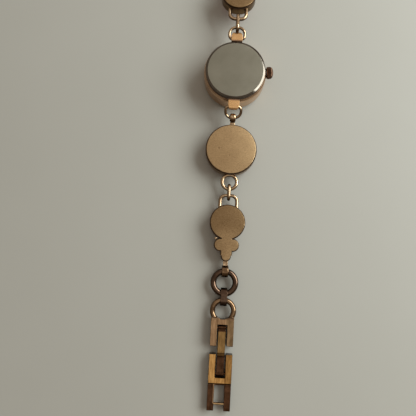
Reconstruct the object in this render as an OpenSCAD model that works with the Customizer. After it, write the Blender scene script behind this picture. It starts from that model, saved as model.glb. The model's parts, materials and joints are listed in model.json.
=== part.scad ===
// Bracelet watch for a small wrist, quartz movement, lying on its crystal with the case back up.
// +Z is up, out of the case back. +X is the crown side. -Y is the 12 o'clock half of the bracelet.
// The origin is the centre of the crystal's outer face. Sizes are in millimetres.

/* [Case] */
// Radius of the case at its widest
case_r = 9.15; // [8.9:0.05:9.6]
// Height from the crystal's face to the case back
watch_h = 7.4; // [7.3:0.05:8]
// Wall of the case round the bore that holds the movement
case_wall = 1.4; // [1.3:0.05:1.6]
// How far the crystal stands proud of the bezel
crystal_proud = 0.25; // [0.1:0.05:0.4]
// Height of the bezel ring
bezel_h = 1.7; // [1.6:0.1:1.9]
// Depth of the bezel's neck inside the case
bezel_neck_h = 0.5; // [0.3:0.1:0.7]
// Width of the bezel, from its edge to the crystal
bezel_w = 1.75; // [1.65:0.05:1.9]
// Thickness of the crystal
crystal_t = 1.2; // [1:0.05:1.3]
// Wall of the gasket round the crystal
crystal_gasket_w = 0.3; // [0.2:0.05:0.4]
// Width of the seat under the crystal's edge
crystal_seat_w = 0.4; // [0.3:0.05:0.5]
// Step between the case wall and the edge of the case back
back_step = 0.5; // [0.45:0.05:0.65]
// Thickness of the case back
back_t = 1.05; // [0.9:0.05:1.1]
// Width of the case back's bevel
back_bevel = 0.8; // [0.5:0.05:1]
// Depth of the case back's plug in the bore
plug_h = 0.4; // [0.3:0.05:0.45]
// Wall of the plug
plug_w = 0.7; // [0.5:0.05:0.9]
// Section of the case back's gasket
back_gasket = 0.3; // [0.25:0.05:0.35]

/* [Lug tabs] */
// How far the slot in a lug tab reaches from the case wall, to the wire's centre
tab_reach = 1.45; // [1.4:0.05:1.8]
// Width of a lug tab
tab_w = 3.2; // [2.8:0.1:3.4]
// Thickness of a lug tab
tab_t = 1.8; // [1.75:0.05:1.9]
// Corner radius of a lug tab's end, seen from above
tab_corner = 1.1; // [0.7:0.05:1.4]
// Gap between the case wall and a ring pushed in along its tab
ring_gap = 0.15; // [0.1:0.05:0.25]
// How far a lug tab's top lies below the case back
tab_drop = 0.2; // [0.1:0.05:0.4]

/* [Dial and hands] */
// Thickness of the dial
dial_t = 0.4; // [0.3:0.05:0.5]
// Gap between the dial's edge and the bore
dial_play = 0.35; // [0.25:0.05:0.45]
// Gap between the crystal and the dial
dial_gap = 1.6; // [1.5:0.05:1.7]
// Length of an hour marker
marker_l = 1.3; // [0.8:0.1:1.8]
// Width of an hour marker
marker_w = 0.28; // [0.2:0.02:0.5]
// Thickness of an hour marker
marker_t = 0.16; // [0.1:0.02:0.2]
// Length of the hour hand
hour_hand_l = 3.5; // [3:0.1:4]
// Length of the minute hand
minute_hand_l = 5.2; // [4.5:0.1:5.6]
// Length of the second hand
second_hand_l = 5.5; // [4.5:0.1:5.8]
// Thickness of a hand
hand_t = 0.14; // [0.1:0.02:0.16]
// Width of the hour hand
hour_hand_w = 0.62; // [0.4:0.02:0.8]
// Width of the minute hand
minute_hand_w = 0.5; // [0.3:0.02:0.7]
// Width of the second hand
second_hand_w = 0.12; // [0.08:0.02:0.2]
// Tail of the second hand behind its hub
second_tail = 1.6; // [1:0.1:2]
// Hour that the hands show
shown_hour = 10; // [0:1:11]
// Minute that the hands show
shown_minute = 10; // [0:1:59]
// Second that the hands show
shown_second = 35; // [0:1:59]

/* [Movement] */
// Width of the ring round the movement
movement_ring_w = 0.75; // [0.65:0.05:0.9]
// Thickness of the main plate
plate_t = 1.18; // [1.1:0.02:1.2]
// Teeth of the wheel that carries the minute hand
centre_teeth = 64; // [60:2:64]
// Teeth of the third wheel
third_teeth = 60; // [56:2:60]
// Teeth of the wheel that carries the second hand
second_teeth = 60; // [56:2:60]
// Teeth of the wheel that the rotor drives
fifth_teeth = 48; // [44:2:48]
// Module of the train's teeth
train_module = 0.06; // [0.056:0.001:0.06]
// Thickness of a wheel
wheel_t = 0.14; // [0.1:0.01:0.14]
// Radius of the battery
battery_r = 2.4; // [2.3:0.05:2.4]
// Height of the battery
battery_h = 1.4; // [1.2:0.05:1.4]
// Radius of the coil
coil_r = 0.7; // [0.6:0.05:0.72]
// Length of the coil's winding
coil_l = 5.2; // [4.6:0.1:5.4]

/* [Crown] */
// Angle of the crown from 3 o'clock towards the 6 o'clock side, in degrees
crown_a = 5.5; // [0:0.5:7]
// Radius of the crown
crown_r = 1.72; // [1.6:0.02:1.9]
// Length of the crown
crown_l = 2; // [1.9:0.05:2.4]
// Height of the stem's axis above the crystal's face
stem_z = 4.15; // [4.1:0.05:4.25]
// Radius of the stem
stem_r = 0.42; // [0.38:0.01:0.43]
// How far the crown pulls out
crown_pull = 0.7; // [0.5:0.05:0.7]

/* [Bracelet wire] */
// Radius of the wire of the D-rings and small loops
wire_r = 0.45; // [0.4:0.01:0.47]
// Half width of a D-ring, to the wire's centre
d_half = 2.25; // [2.2:0.05:2.4]
// Corner radius of a D-ring's outer end
d_corner = 1.9; // [1.6:0.05:2]
// Corner radius of a D-ring's inner end
d_back_corner = 1.2; // [1:0.05:1.2]
// Slope of the D-ring on the 12 o'clock side, downwards, in degrees
d_slope_12 = 38; // [36:1:42]
// Slope of the D-ring on the 6 o'clock side, upwards, in degrees
d_rise_6 = 8; // [4:1:10]
// Radius of the wire of an oval jump ring
jump_wire = 0.5; // [0.45:0.01:0.52]
// Inner radius at the ends of an oval jump ring
jump_in = 0.6; // [0.58:0.01:0.64]
// Distance between the two wires that the 12 o'clock jump ring joins
jump_pitch_12 = 1.8; // [1.7:0.05:2]
// Distance between the two wires that the 6 o'clock jump ring joins
jump_pitch_6 = 3; // [2.8:0.05:3.2]

/* [Large round link] */
// Radius of the large link's back
disc_r = 7.45; // [7.2:0.05:7.6]
// Thickness of the large link's back plate
disc_back_t = 1.2; // [1:0.05:1.4]
// Thickness of the large link from back to stone
disc_t = 4.5; // [4.3:0.05:4.8]
// Height of the stone above its setting's rim
disc_stone_proud = 1.4; // [1.1:0.05:1.6]
// Wall of the large setting
disc_wall = 0.8; // [0.6:0.05:1]
// Radius of the in-plane loop, to the wire's centre
disc_loop_r = 2.1; // [2:0.05:2.2]
// Radius of the cross-bored bead
bead_r = 1.25; // [1.2:0.05:1.35]
// Width of the cross-bored bead
bead_w = 1.7; // [1.4:0.05:1.8]
// Radius of the bead's cross bore
bead_bore = 0.68; // [0.66:0.01:0.7]

/* [Small link] */
// Radius of the small link's round back
small_r = 5.1; // [4.9:0.05:5.2]
// Thickness of the small link from back to stone
small_t = 4; // [3.8:0.05:4.2]
// Thickness of the small link's back plate
small_back_t = 1; // [0.8:0.05:1.2]
// Height of the stone above its setting's rim
small_stone_proud = 1.1; // [0.9:0.05:1.2]
// Wall of the small settings
small_wall = 0.6; // [0.5:0.05:0.7]
// Half width of the D-loop, to the wire's centre
small_loop_half = 2.4; // [2.3:0.05:2.5]
// Radius of each side lobe
lobe_r = 1.85; // [1.8:0.05:1.9]
// Distance of each side lobe from the middle line
lobe_x = 1.75; // [1.7:0.05:1.8]
// Radius of the end lobe
tip_r = 1.4; // [1.3:0.05:1.5]

/* [Rings and connector] */
// Radius of the round ring, to the wire's centre
ring_r = 3.15; // [3.1:0.05:3.3]
// Radius of the round ring's wire
ring_wire = 0.85; // [0.8:0.01:0.87]
// Inner radius of the band loop that holds the round ring
band_in = 1.08; // [1.05:0.01:1.12]
// Wall of the band loops
band_wall = 0.65; // [0.55:0.05:0.75]
// Width of the band loops
band_w = 1.9; // [1.6:0.05:2]
// Gap between the round ring and the clasp's head
head_gap = 0.15; // [0.1:0.05:0.3]

/* [Clasp ladder] */
// Outer radius of the clasp's ring head
head_r = 3.75; // [3.7:0.05:3.9]
// Radius of the hole in the ring head
head_hole = 2.25; // [2.2:0.05:2.35]
// Thickness of the clasp's parts
clasp_t = 2.2; // [2:0.05:2.4]
// Width of the clasp's parts
clasp_w = 6.45; // [6.2:0.05:6.8]
// Width of the slot between the prongs
slot_w = 2.8; // [2.7:0.05:3]
// Width of the tongue
tongue_w = 2.1; // [1.9:0.05:2.2]
// Radius of the clasp's pins
pin_r = 0.32; // [0.28:0.01:0.34]
// Distance between the tongue's two pins
tongue_pitch = 12.6; // [12.4:0.1:13]
// Distance from the tongue's second pin to the catch pin
catch_pitch = 8.1; // [7.9:0.1:8.4]

/* [Fold-over hook] */
// Width of the hook plate and its cover
hook_w = 5; // [4.8:0.1:5.4]
// Length of the hook plate, between its eye and its hinge pin
hook_l = 12; // [11.5:0.1:13]
// Thickness of the hook plate and its cover
hook_t = 0.8; // [0.7:0.05:0.9]
// Width of the hook that catches a rung
catch_w = 2.2; // [2:0.05:2.4]

/* [Hidden] */
$fn = 48;

// Clearances
seat = 0.02;
run = 0.05;
free = 0.1;
tab_free = 0.15;
cut = 0.5;

// Radii inside the case, which follow its outer radius
bore_r = case_r - case_wall;
back_r = case_r - back_step;
crystal_r = case_r - bezel_w;
sight_r = crystal_r - crystal_seat_w;
dial_r = bore_r - dial_play;
plate_r = bore_r - movement_ring_w;

// The movement's sizes are given for a plate of this radius and this room between the crystal and
// the case back, and follow the case that holds it
layout_r = 7;
layout_h = 5.15;
calibre = plate_r / layout_r;
rise = (watch_h - back_t - crystal_t) / layout_h;

// Levels of the case and the dial, from the crystal's face
bezel_top = crystal_proud + bezel_h;
dial_z = crystal_t + dial_gap * rise;
plate_z = dial_z + dial_t * rise;
plate_top = plate_z + plate_t * rise;
stem_level = crystal_t + (stem_z - crystal_t) * rise;
back_z = watch_h - back_t;
plug_z = back_z - plug_h;
gasket_groove_r = bore_r + 0.15;

// Levels of the hands, from the dial towards the crystal
hour_hand_z = dial_z - 0.5 * rise;
minute_hand_z = hour_hand_z - 0.35 * rise;
second_hand_z = minute_hand_z - 0.32 * rise;
hour_angle = 30 * (shown_hour + shown_minute / 60) - 90;
minute_angle = 6 * shown_minute - 90;
second_angle = 6 * shown_second - 90;

// Radii of the nested tubes that carry the hands
second_arbor_r = 0.12;
minute_tube_r = 0.32;
hour_tube_r = 0.56;
tube_gap = 0.04;
second_hub_r = 0.4;

// The motion work under the dial
motion_module = 0.08 * calibre;
cannon_teeth = 12;
minute_wheel_teeth = 36;
hour_pinion_teeth = 10;
hour_wheel_teeth = 40;
motion_pitch = motion_module * (cannon_teeth + minute_wheel_teeth) / 2;
hour_module = 2 * motion_pitch / (hour_pinion_teeth + hour_wheel_teeth);
motion_at = polar(motion_pitch, 150);
hour_level = plate_z + 0.1 * rise;
cannon_level = plate_z + 0.42 * rise;
motion_depth = 0.7 * rise;

// The going train between the main plate and the bridge
leaf_teeth = 8;
gear_module = train_module * calibre;
fifth_leaves = 12;
third_pitch = gear_module * (centre_teeth + leaf_teeth) / 2;
third_module = 2 * third_pitch / (third_teeth + leaf_teeth);
fifth_pitch = gear_module * (second_teeth + fifth_leaves) / 2;
rotor_module = 0.055 * calibre;
rotor_pitch = rotor_module * (fifth_teeth + leaf_teeth) / 2;
third_a = 300;
fifth_a = 75;
rotor_a = 130;
third_at = polar(third_pitch, third_a);
fifth_at = polar(fifth_pitch, fifth_a);
rotor_at = fifth_at + polar(rotor_pitch, rotor_a);
level_1 = plate_top + 0.1 * rise;
level_2 = level_1 + 0.25 * rise;
level_3 = level_2 + 0.25 * rise;
level_4 = level_3 + 0.22 * rise;
bridge_z = level_4 + 0.24 * rise;
bridge_t = 0.3;
bridge_r = 2 * calibre;
bridge_top = bridge_z + bridge_t;
arbor_r = 0.1;
rotor_magnet_r = 0.5;

// Posts that carry the train bridge, and the screws in them
post_at = calibre * [[3.25, 1.75], [-2.9, 1.6], [-1, -3.7]];
post_r = 0.45;
screw_r = 0.2;
screw_head_r = 0.4;
screw_head_t = 0.18;
screw_slot_l = 2;
screw_slot_w = 0.12;

// Battery, coil and board on the main plate
cell_r = battery_r * calibre;
cell_h = battery_h * rise;
battery_at = polar(plate_r - cell_r - 0.05, 200);
board_at = calibre * [-1.4, -6.3];
can_at = calibre * [0.9, -5.2];
coil_at = calibre * [0, 4.85];
winding_l = coil_l * calibre;
coil_z = plate_top + coil_r + 0.05;
core_w = 0.5;
core_t = 0.3;
stator_t = 0.3;
stator_end = winding_l / 2 + 0.6;
stator_z = coil_z - core_t / 2 - stator_t;
stator_pad_y = 3.3 * calibre;
stator_pad_r = 0.35;

// Crown and stem
crown_x = case_r + 0.15;
tube_r = 0.8;
tube_bore = 0.5;
tube_end = crown_x + crown_pull + 0.35;
recess_l = tube_end - crown_x + 0.25;
crown_hole = 0.3;
crown_recess_r = 1.2;
shank_r = 0.24;
lever_x = 5.35 * calibre;
stem_groove = 0.3;
stem_collar = 0.3;
pinion_l = 0.6;
pinion_x = lever_x - stem_groove - stem_collar - free - pinion_l;
pinion_shift = 0.5;
pinion_teeth = 10;
pinion_module = 0.11;
stem_end = pinion_x - crown_pull - pinion_shift - 0.15;
lever_arm = 1.7;
lever_z = plate_top + 0.3 * rise;
lever_t = 0.2;
lever_pivot_r = 0.25;

// The chain on the 12 o'clock side: [distance from the watch's centre, height] of each hinge
tab_s = case_r + tab_reach;
tab_end = tab_s + tab_t / 2;
pushed_s = case_r + ring_gap + wire_r;
d_len = tab_end - pushed_s + free + jump_in + 2 * jump_wire;
hinge_0 = [tab_s, watch_h - tab_drop - tab_t / 2];
hinge_1 = hinge_0 + slope(d_len, -d_slope_12);
disc_centre = 9.4;
disc_drop = 1.7;
disc_loop_over = 0.1;
disc_loop_s = disc_centre + disc_r + disc_loop_r - disc_loop_over;
disc_pitch = disc_loop_s + disc_loop_r;
disc_top = disc_t - hinge_1[1];
hinge_2 = hinge_1 + [disc_pitch, disc_top - disc_drop];
jump_slope_12 = 6;
hinge_3 = hinge_2 + slope(jump_pitch_12, -jump_slope_12);
small_centre = 7.85;
lobe_s = small_centre + small_r + 1.4;
tip_s = lobe_s + 3.25;
band_r = band_in + band_wall;
small_pitch = tip_s + tip_r + 2.8;
lobe_back = 0.1;
lobe_dome = 0.6;
small_top = small_t - hinge_3[1];
band_top = small_top - small_t + band_r + 0.1;
hinge_4 = hinge_3 + [small_pitch, band_top];
ring_slope = 0.2;
hinge_5 = hinge_4 + slope(2 * ring_r, -ring_slope);
head_wire = (head_r - head_hole) / 2;
connector_pitch = ring_wire + head_wire + head_gap;
connector_slope = 0.5;
hinge_6 = hinge_5 + slope(connector_pitch, -connector_slope);
clasp_slope = 1.15;
crotch_s = 2 * head_r - head_wire;
neck_l = 2;
pin_s = crotch_s + 0.85;
prong_l = 5;
prong_end = pin_s + prong_l;
frame_pin_s = pin_s + tongue_pitch;
frame_reach = 5.4;
frame_tip = frame_pin_s - frame_reach;
frame_crotch = frame_pin_s + 0.95;
crossbar_end = frame_crotch + 2;
catch_s = frame_pin_s + catch_pitch;
frame_end = catch_s + 1.7;
eye_r = 0.68;

// The chain on the 6 o'clock side, whose D-ring is pushed in along its tab
hinge_0b = [pushed_s, hinge_0[1]];
hinge_1b = hinge_0b + slope(d_len, d_rise_6);
jump_slope_6 = 10;
hinge_2b = hinge_1b + slope(jump_pitch_6, -jump_slope_6);
small_slope_6 = asin((hinge_2b[1] + band_top - hinge_2[1] - run) / small_pitch);
hinge_3b = hinge_2b + turn([small_pitch, band_top], -small_slope_6);
hinge_4b = hinge_3b + [disc_pitch, -(disc_top - disc_drop)];
end_ring_pitch = 2 * disc_loop_r;
hook_eye_z = 2.29;
end_slope_6 = asin((hinge_4b[1] - hook_eye_z) / end_ring_pitch);
hinge_5b = hinge_4b + slope(end_ring_pitch, -end_slope_6);
hook_plate_z = 0.5 - hinge_5b[1];
hook_pin_z = hook_plate_z + hook_t + 0.35;
hook_eye_r = 1.3;

// A point at a radius and an angle
function polar(r, a) = [r * cos(a), r * sin(a)];

// A step along a chain that climbs at an angle
function slope(l, a) = [l * cos(a), l * sin(a)];

// A step turned upwards by an angle
function turn(p, a) = [p[0] * cos(a) - p[1] * sin(a), p[0] * sin(a) + p[1] * cos(a)];

// Points on an arc, for outlines
function arc(c, r, a0, a1, n = 8) = [for (i = [0:n]) c + polar(r, a0 + (a1 - a0) * i / n)];

// Outline of a toothed wheel, four points a tooth
function tooth_points(teeth, tip, root, tip_part = 0.2, root_part = 0.3) =
    [for (i = [0:teeth - 1], k = [[-root_part, root], [-tip_part, tip], [tip_part, tip], [root_part, root]])
        polar(k[1], (i + k[0]) * 360 / teeth)];

// A ring of revolution about Z from inner and outer radius
module ring(r_in, r_out, z0, z1) {
    difference() {
        translate([0, 0, z0]) cylinder(r = r_out, h = z1 - z0);
        translate([0, 0, z0 - cut]) cylinder(r = r_in, h = z1 - z0 + 2 * cut);
    }
}

// A cylinder along X, centred
module x_cylinder(r, l) {
    rotate([0, 90, 0]) cylinder(r = r, h = l, center = true);
}

// A pin along X between two places
module x_rod(r, x0, x1) {
    translate([x0, 0, 0]) rotate([0, 90, 0]) cylinder(r = r, h = x1 - x0);
}

// A toothed wheel with a bore
module wheel(teeth, tooth_module, t, bore) {
    pitch_r = teeth * tooth_module / 2;
    difference() {
        linear_extrude(t)
            polygon(tooth_points(teeth, pitch_r + 0.6 * tooth_module, pitch_r - 1.1 * tooth_module));
        translate([0, 0, -cut]) cylinder(r = bore, h = t + 2 * cut);
    }
}

// A round wire ring in the XY plane
module wire_ring(r, wire) {
    rotate_extrude() translate([r, 0]) circle(wire);
}

// Part of a round wire ring, starting from +X
module wire_bend(r, wire, a) {
    rotate_extrude(angle = a) translate([r, 0]) circle(wire);
}

// A straight wire between two points of the XY plane
module wire_run(p, q, wire) {
    d = q - p;
    translate([p[0], p[1], 0]) rotate([0, 0, atan2(d[1], d[0])]) rotate([0, 90, 0])
        cylinder(r = wire, h = norm(d));
}

// The outer half of a D: two legs from y = leg, two bends and a straight end at y = end
module d_bow(half, leg, end, corner, wire) {
    wire_run([half, leg], [half, end - corner], wire);
    wire_run([-half, leg], [-half, end - corner], wire);
    wire_run([-half + corner, end], [half - corner, end], wire);
    translate([half - corner, end - corner, 0]) wire_bend(corner, wire, 90);
    translate([-half + corner, end - corner, 0]) rotate([0, 0, 90]) wire_bend(corner, wire, 90);
}

// A whole D-ring, with its bar at the origin and its bow towards +Y
module d_ring() {
    bar = d_half - d_back_corner;
    d_bow(d_half, d_back_corner, d_len, d_corner, wire_r);
    wire_run([-bar, 0], [bar, 0], wire_r);
    translate([bar, d_back_corner, 0]) rotate([0, 0, -90]) wire_bend(d_back_corner, wire_r, 90);
    translate([-bar, d_back_corner, 0]) rotate([0, 0, 180]) wire_bend(d_back_corner, wire_r, 90);
}

// An oval ring in the YZ plane round two wires, the first at the origin
module oval_ring(pitch, r, wire) {
    rotate([0, -90, 0]) {
        rotate([0, 0, 90]) wire_run([0, r], [pitch, r], wire);
        rotate([0, 0, 90]) wire_run([0, -r], [pitch, -r], wire);
        translate([0, pitch, 0]) wire_bend(r, wire, 180);
        rotate([0, 0, 180]) wire_bend(r, wire, 180);
    }
}

// A band loop with its hole along X
module band_loop(r_in, wall, w) {
    difference() {
        x_cylinder(r_in + wall, w);
        x_cylinder(r_in, w + 2 * cut);
    }
}

// A stone: a cylinder with a domed face towards -Z, its back at z = 0
module cabochon(r, girdle, dome) {
    sphere_r = (r * r + dome * dome) / (2 * dome);
    intersection() {
        translate([0, 0, -girdle - dome]) cylinder(r = r, h = girdle + dome);
        translate([0, 0, sphere_r - girdle - dome]) sphere(sphere_r, $fn = 96);
    }
}

// A cup that holds a stone: a back plate and a wall, its back at z = 0, open towards -Z
module setting(r, back_t, depth, wall) {
    difference() {
        translate([0, 0, -depth]) cylinder(r = r, h = depth);
        translate([0, 0, -depth - cut]) cylinder(r = r - wall, h = depth - back_t + cut);
    }
}

// Places a piece of the 12 o'clock chain: away from the watch is +Y in the piece's own frame
module chain_12(at, climb = 0) {
    rotate([0, 0, 180]) translate([0, at[0], at[1]]) rotate([climb, 0, 0]) children();
}

// Places a piece of the 6 o'clock chain
module chain_6(at, climb = 0) {
    translate([0, at[0], at[1]]) rotate([climb, 0, 0]) children();
}

// Turns what lies on the crown's axis to its place
module at_crown() {
    rotate([0, 0, crown_a]) children();
}

module case_middle() {
    shoulder_r = 2.5;
    shoulder_drop = 1.6;
    shoulder_a = 33;
    back_free = 0.12;
    color("#9a6f52") difference() {
        union() {
            difference() {
                rotate_extrude() polygon(concat(
                    [[bore_r, bezel_top], [case_r, bezel_top]],
                    arc([case_r - shoulder_r, back_z - shoulder_drop], shoulder_r, 0, shoulder_a, 6),
                    [[back_r + back_free, back_z], [bore_r, back_z]]));
                rotate_extrude() translate([gasket_groove_r, back_z - back_gasket])
                    square([back_gasket + seat, back_gasket + cut]);
            }
            for (a = [0, 180]) rotate([0, 0, a]) lug_tab();
        }
        at_crown() translate([bore_r - cut, 0, stem_level]) x_rod(tube_r + seat, 0, 3);
        for (a = [0, 180]) rotate([0, 0, a]) translate([0, 0, hinge_0[1]]) tab_slot();
    }
}

// The slot that a D-ring's bar slides in
module tab_slot() {
    slot_r = wire_r + tab_free;
    slot_l = tab_w + 2 * cut;
    for (s = [pushed_s, tab_s]) translate([0, s, 0]) x_cylinder(slot_r, slot_l);
    translate([-slot_l / 2, pushed_s, -slot_r]) cube([slot_l, tab_s - pushed_s, 2 * slot_r]);
}

// A lug tab: its outline from above, rounded over its end
module lug_tab() {
    low = hinge_0[1] - tab_t / 2;
    root = sqrt(case_r * case_r - tab_w * tab_w / 4) - 0.55;
    side = tab_w / 2;
    intersection() {
        translate([0, 0, low]) linear_extrude(tab_t) polygon(concat(
            [[-side, root], [side, root]],
            arc([side - tab_corner, tab_end - tab_corner], tab_corner, 0, 90, 6),
            arc([tab_corner - side, tab_end - tab_corner], tab_corner, 90, 180, 6)));
        union() {
            translate([-side, root, low]) cube([tab_w, tab_s - root, back_z - low - seat]);
            translate([-side, back_r + free, low]) cube([tab_w, tab_s - back_r - free, tab_t]);
            translate([0, tab_s, hinge_0[1]]) x_cylinder(tab_t / 2, tab_w);
        }
    }
}

module bezel() {
    neck_r = bore_r - seat;
    pocket_r = crystal_r + crystal_gasket_w + 2 * seat;
    shoulder = 0.9;
    color("#a97a5a") rotate_extrude() polygon(concat(
        [[pocket_r, crystal_proud]],
        arc([case_r - shoulder, crystal_proud + shoulder], shoulder, -90, 0),
        [[case_r, bezel_top], [neck_r, bezel_top], [neck_r, bezel_top + bezel_neck_h],
         [sight_r, bezel_top + bezel_neck_h], [sight_r, crystal_t + seat],
         [pocket_r, crystal_t + seat]]));
}

module crystal() {
    color("#cfd8dc") cylinder(r = crystal_r, h = crystal_t);
}

module crystal_gasket() {
    color("#e8e4d8") ring(crystal_r + seat, crystal_r + seat + crystal_gasket_w,
        crystal_proud + 0.15, crystal_t);
}

module rehaut() {
    foot_r = sight_r - seat;
    lip = 0.15;
    foot = 0.65;
    color("#c9a287") rotate_extrude() polygon([
        [foot_r, crystal_t + seat], [foot_r - lip, crystal_t + seat],
        [foot_r - foot, dial_z], [foot_r, dial_z]]);
}

module dial() {
    color("#efe9e2") difference() {
        translate([0, 0, dial_z]) cylinder(r = dial_r, h = dial_t);
        translate([0, 0, dial_z - cut]) cylinder(r = hour_tube_r + 2 * tube_gap, h = dial_t + 2 * cut);
    }
}

module hour_markers() {
    color("#a97a5a") for (i = [0:11]) rotate([0, 0, 30 * i])
        translate([sight_r - 0.95 - marker_l, -marker_w / 2, dial_z - marker_t])
            cube([marker_l, (i % 3 == 0 ? 2 : 1) * marker_w, marker_t]);
}

module case_back() {
    color("#8f8a80") union() {
        rotate_extrude() polygon([
            [0, back_z], [back_r, back_z], [back_r, watch_h - back_bevel / 2],
            [back_r - back_bevel, watch_h], [0, watch_h]]);
        ring(bore_r - seat - plug_w, bore_r - seat, plug_z, back_z + 0.1);
    }
}

module case_gasket() {
    color("#222222") ring(gasket_groove_r + seat, gasket_groove_r + back_gasket,
        back_z - back_gasket, back_z);
}

module crown_tube() {
    color("#b8b2a8") at_crown() translate([0, 0, stem_level]) difference() {
        x_rod(tube_r, bore_r + 0.1, tube_end);
        x_rod(tube_bore, bore_r - cut, tube_end + cut);
    }
}

module movement_ring() {
    color("#e9e6df") difference() {
        ring(plate_r + run, bore_r - seat, plate_z + seat, plug_z - seat);
        at_crown() translate([plate_r - 1, -tube_r, stem_level - tube_r]) cube([3, 2 * tube_r, 4]);
    }
}

module main_plate() {
    color("#b9a46a") {
        difference() {
            union() {
                translate([0, 0, plate_z]) cylinder(r = plate_r, h = plate_t);
                for (p = post_at) translate([p[0], p[1], plate_top - 0.1])
                    cylinder(r = post_r, h = bridge_z - plate_top + 0.1);
                for (x = [-1, 1]) translate([x * stator_end, stator_pad_y, plate_top - 0.1])
                    cylinder(r = stator_pad_r, h = stator_z - plate_top + 0.1);
                at_crown() translate([lever_x, -lever_arm, plate_top - 0.1])
                    cylinder(r = lever_pivot_r, h = lever_z + lever_t - plate_top + 0.1);
            }
            translate([0, 0, plate_z - cut])
                cylinder(r = hour_wheel_teeth * hour_module / 2 + 0.25, h = motion_depth + cut);
            translate([motion_at[0], motion_at[1], plate_z - cut])
                cylinder(r = minute_wheel_teeth * motion_module / 2 + 0.2, h = motion_depth + cut);
            translate([0, 0, plate_z]) cylinder(r = minute_tube_r + tube_gap, h = plate_t + cut);
            for (p = [third_at, fifth_at, rotor_at]) translate([p[0], p[1], plate_top - 0.3])
                cylinder(r = arbor_r + 0.02, h = cut);
            for (p = post_at) translate([p[0], p[1], plate_top]) cylinder(r = screw_r + 0.02, h = 3);
            at_crown() translate([stem_end - 0.3, -0.75, stem_level - 0.75]) cube([plate_r, 1.5, 3]);
        }
        translate([motion_at[0], motion_at[1], plate_z + run])
            cylinder(r = arbor_r, h = motion_depth);
    }
}

module train_bridge() {
    color("#c8c2b6") difference() {
        union() {
            translate([0, 0, bridge_z]) cylinder(r = bridge_r, h = bridge_t);
            for (p = concat(post_at, [rotor_at])) {
                translate([p[0], p[1], bridge_z]) cylinder(r = 0.75, h = bridge_t);
                translate([0, 0, bridge_z]) rotate([0, 0, atan2(p[1], p[0])])
                    translate([0, -0.6, 0]) cube([norm(p), 1.2, bridge_t]);
            }
        }
        for (p = [[0, 0], third_at, fifth_at, rotor_at]) translate([p[0], p[1], bridge_z - cut])
            cylinder(r = (norm(p) == 0 ? second_arbor_r : arbor_r) + 0.02, h = bridge_t + 2 * cut);
        for (p = post_at) translate([p[0], p[1], bridge_z - cut])
            cylinder(r = screw_r + 0.03, h = bridge_t + 2 * cut);
    }
}

module battery() {
    rim = 0.25;
    color("#c6c8c8") translate([battery_at[0], battery_at[1], plate_top]) {
        cylinder(r = cell_r - rim, h = rim);
        translate([0, 0, rim]) cylinder(r = cell_r, h = cell_h - rim);
    }
}

module battery_clip() {
    reach = cell_r + 0.3;
    strap_w = 1.2;
    strap_t = 0.12;
    leg_t = 0.15;
    top = plate_top + cell_h + seat;
    color("#d8cfa0") translate([battery_at[0], battery_at[1], 0]) rotate([0, 0, 290]) {
        translate([-reach - leg_t, -strap_w / 2, top]) cube([2 * (reach + leg_t), strap_w, strap_t]);
        for (x = [-reach - leg_t, reach]) translate([x, -strap_w / 2, plate_top])
            cube([leg_t, strap_w, top - plate_top + run]);
    }
}

module circuit_board() {
    board = [2.2 * calibre, 1.7 * calibre, 0.3];
    chip = [1.2, 0.9, 0.35];
    color("#2f5d3a") translate([board_at[0], board_at[1], plate_top]) {
        cube(board);
        translate([0.5, 0.4, board[2] - run]) cube(chip);
    }
}

module quartz_can() {
    can_r = 0.6;
    can_l = 2.8 * calibre;
    color("#cfcfcf") translate([can_at[0], can_at[1], plate_top + can_r + seat]) x_rod(can_r, 0, can_l);
}

module coil() {
    color("#a8552a") union() {
        translate([coil_at[0], coil_at[1], coil_z]) x_cylinder(coil_r, winding_l);
        translate([-stator_end - 0.3, coil_at[1] - core_w / 2, coil_z - core_t / 2])
            cube([2 * stator_end + 0.6, core_w, core_t]);
    }
}

module stator() {
    body_y = rotor_at[1] - 0.78 * calibre;
    body_w = 1.5 * calibre;
    leg_w = 0.8;
    color("#8d8f92") difference() {
        union() {
            translate([-stator_end - leg_w / 2, body_y, stator_z])
                cube([2 * stator_end + leg_w, body_w, stator_t]);
            for (x = [-1, 1]) translate([x * stator_end - leg_w / 2, body_y, stator_z])
                cube([leg_w, coil_at[1] + core_w - body_y, stator_t]);
        }
        translate([rotor_at[0], rotor_at[1], stator_z - cut])
            cylinder(r = rotor_magnet_r + 0.1, h = stator_t + 2 * cut);
    }
}

module movement_screws() {
    color("#9c9c9c") for (p = post_at) translate([p[0], p[1], 0]) difference() {
        union() {
            translate([0, 0, plate_top + 0.4]) cylinder(r = screw_r, h = bridge_top - plate_top - 0.4);
            translate([0, 0, bridge_top]) cylinder(r = screw_head_r, h = screw_head_t);
        }
        translate([-screw_slot_l / 2, -screw_slot_w / 2, bridge_top + screw_head_t / 2])
            cube([screw_slot_l, screw_slot_w, 1]);
    }
}

module rotor() {
    color("#55585c") translate([rotor_at[0], rotor_at[1], 0]) {
        translate([0, 0, plate_top + 0.08]) cylinder(r = rotor_magnet_r, h = level_4 - plate_top - 0.2);
        translate([0, 0, level_4]) wheel(leaf_teeth, rotor_module, wheel_t, 0.01);
        translate([0, 0, plate_top - 0.2]) cylinder(r = arbor_r, h = bridge_top - plate_top + 0.2);
    }
}

module fifth_wheel() {
    color("#c9a24b") translate([fifth_at[0], fifth_at[1], 0]) {
        translate([0, 0, level_4]) wheel(fifth_teeth, rotor_module, wheel_t, 0.01);
        translate([0, 0, level_3]) wheel(fifth_leaves, gear_module, wheel_t, 0.01);
        translate([0, 0, plate_top - 0.2]) cylinder(r = arbor_r, h = bridge_top - plate_top + 0.2);
    }
}

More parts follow.
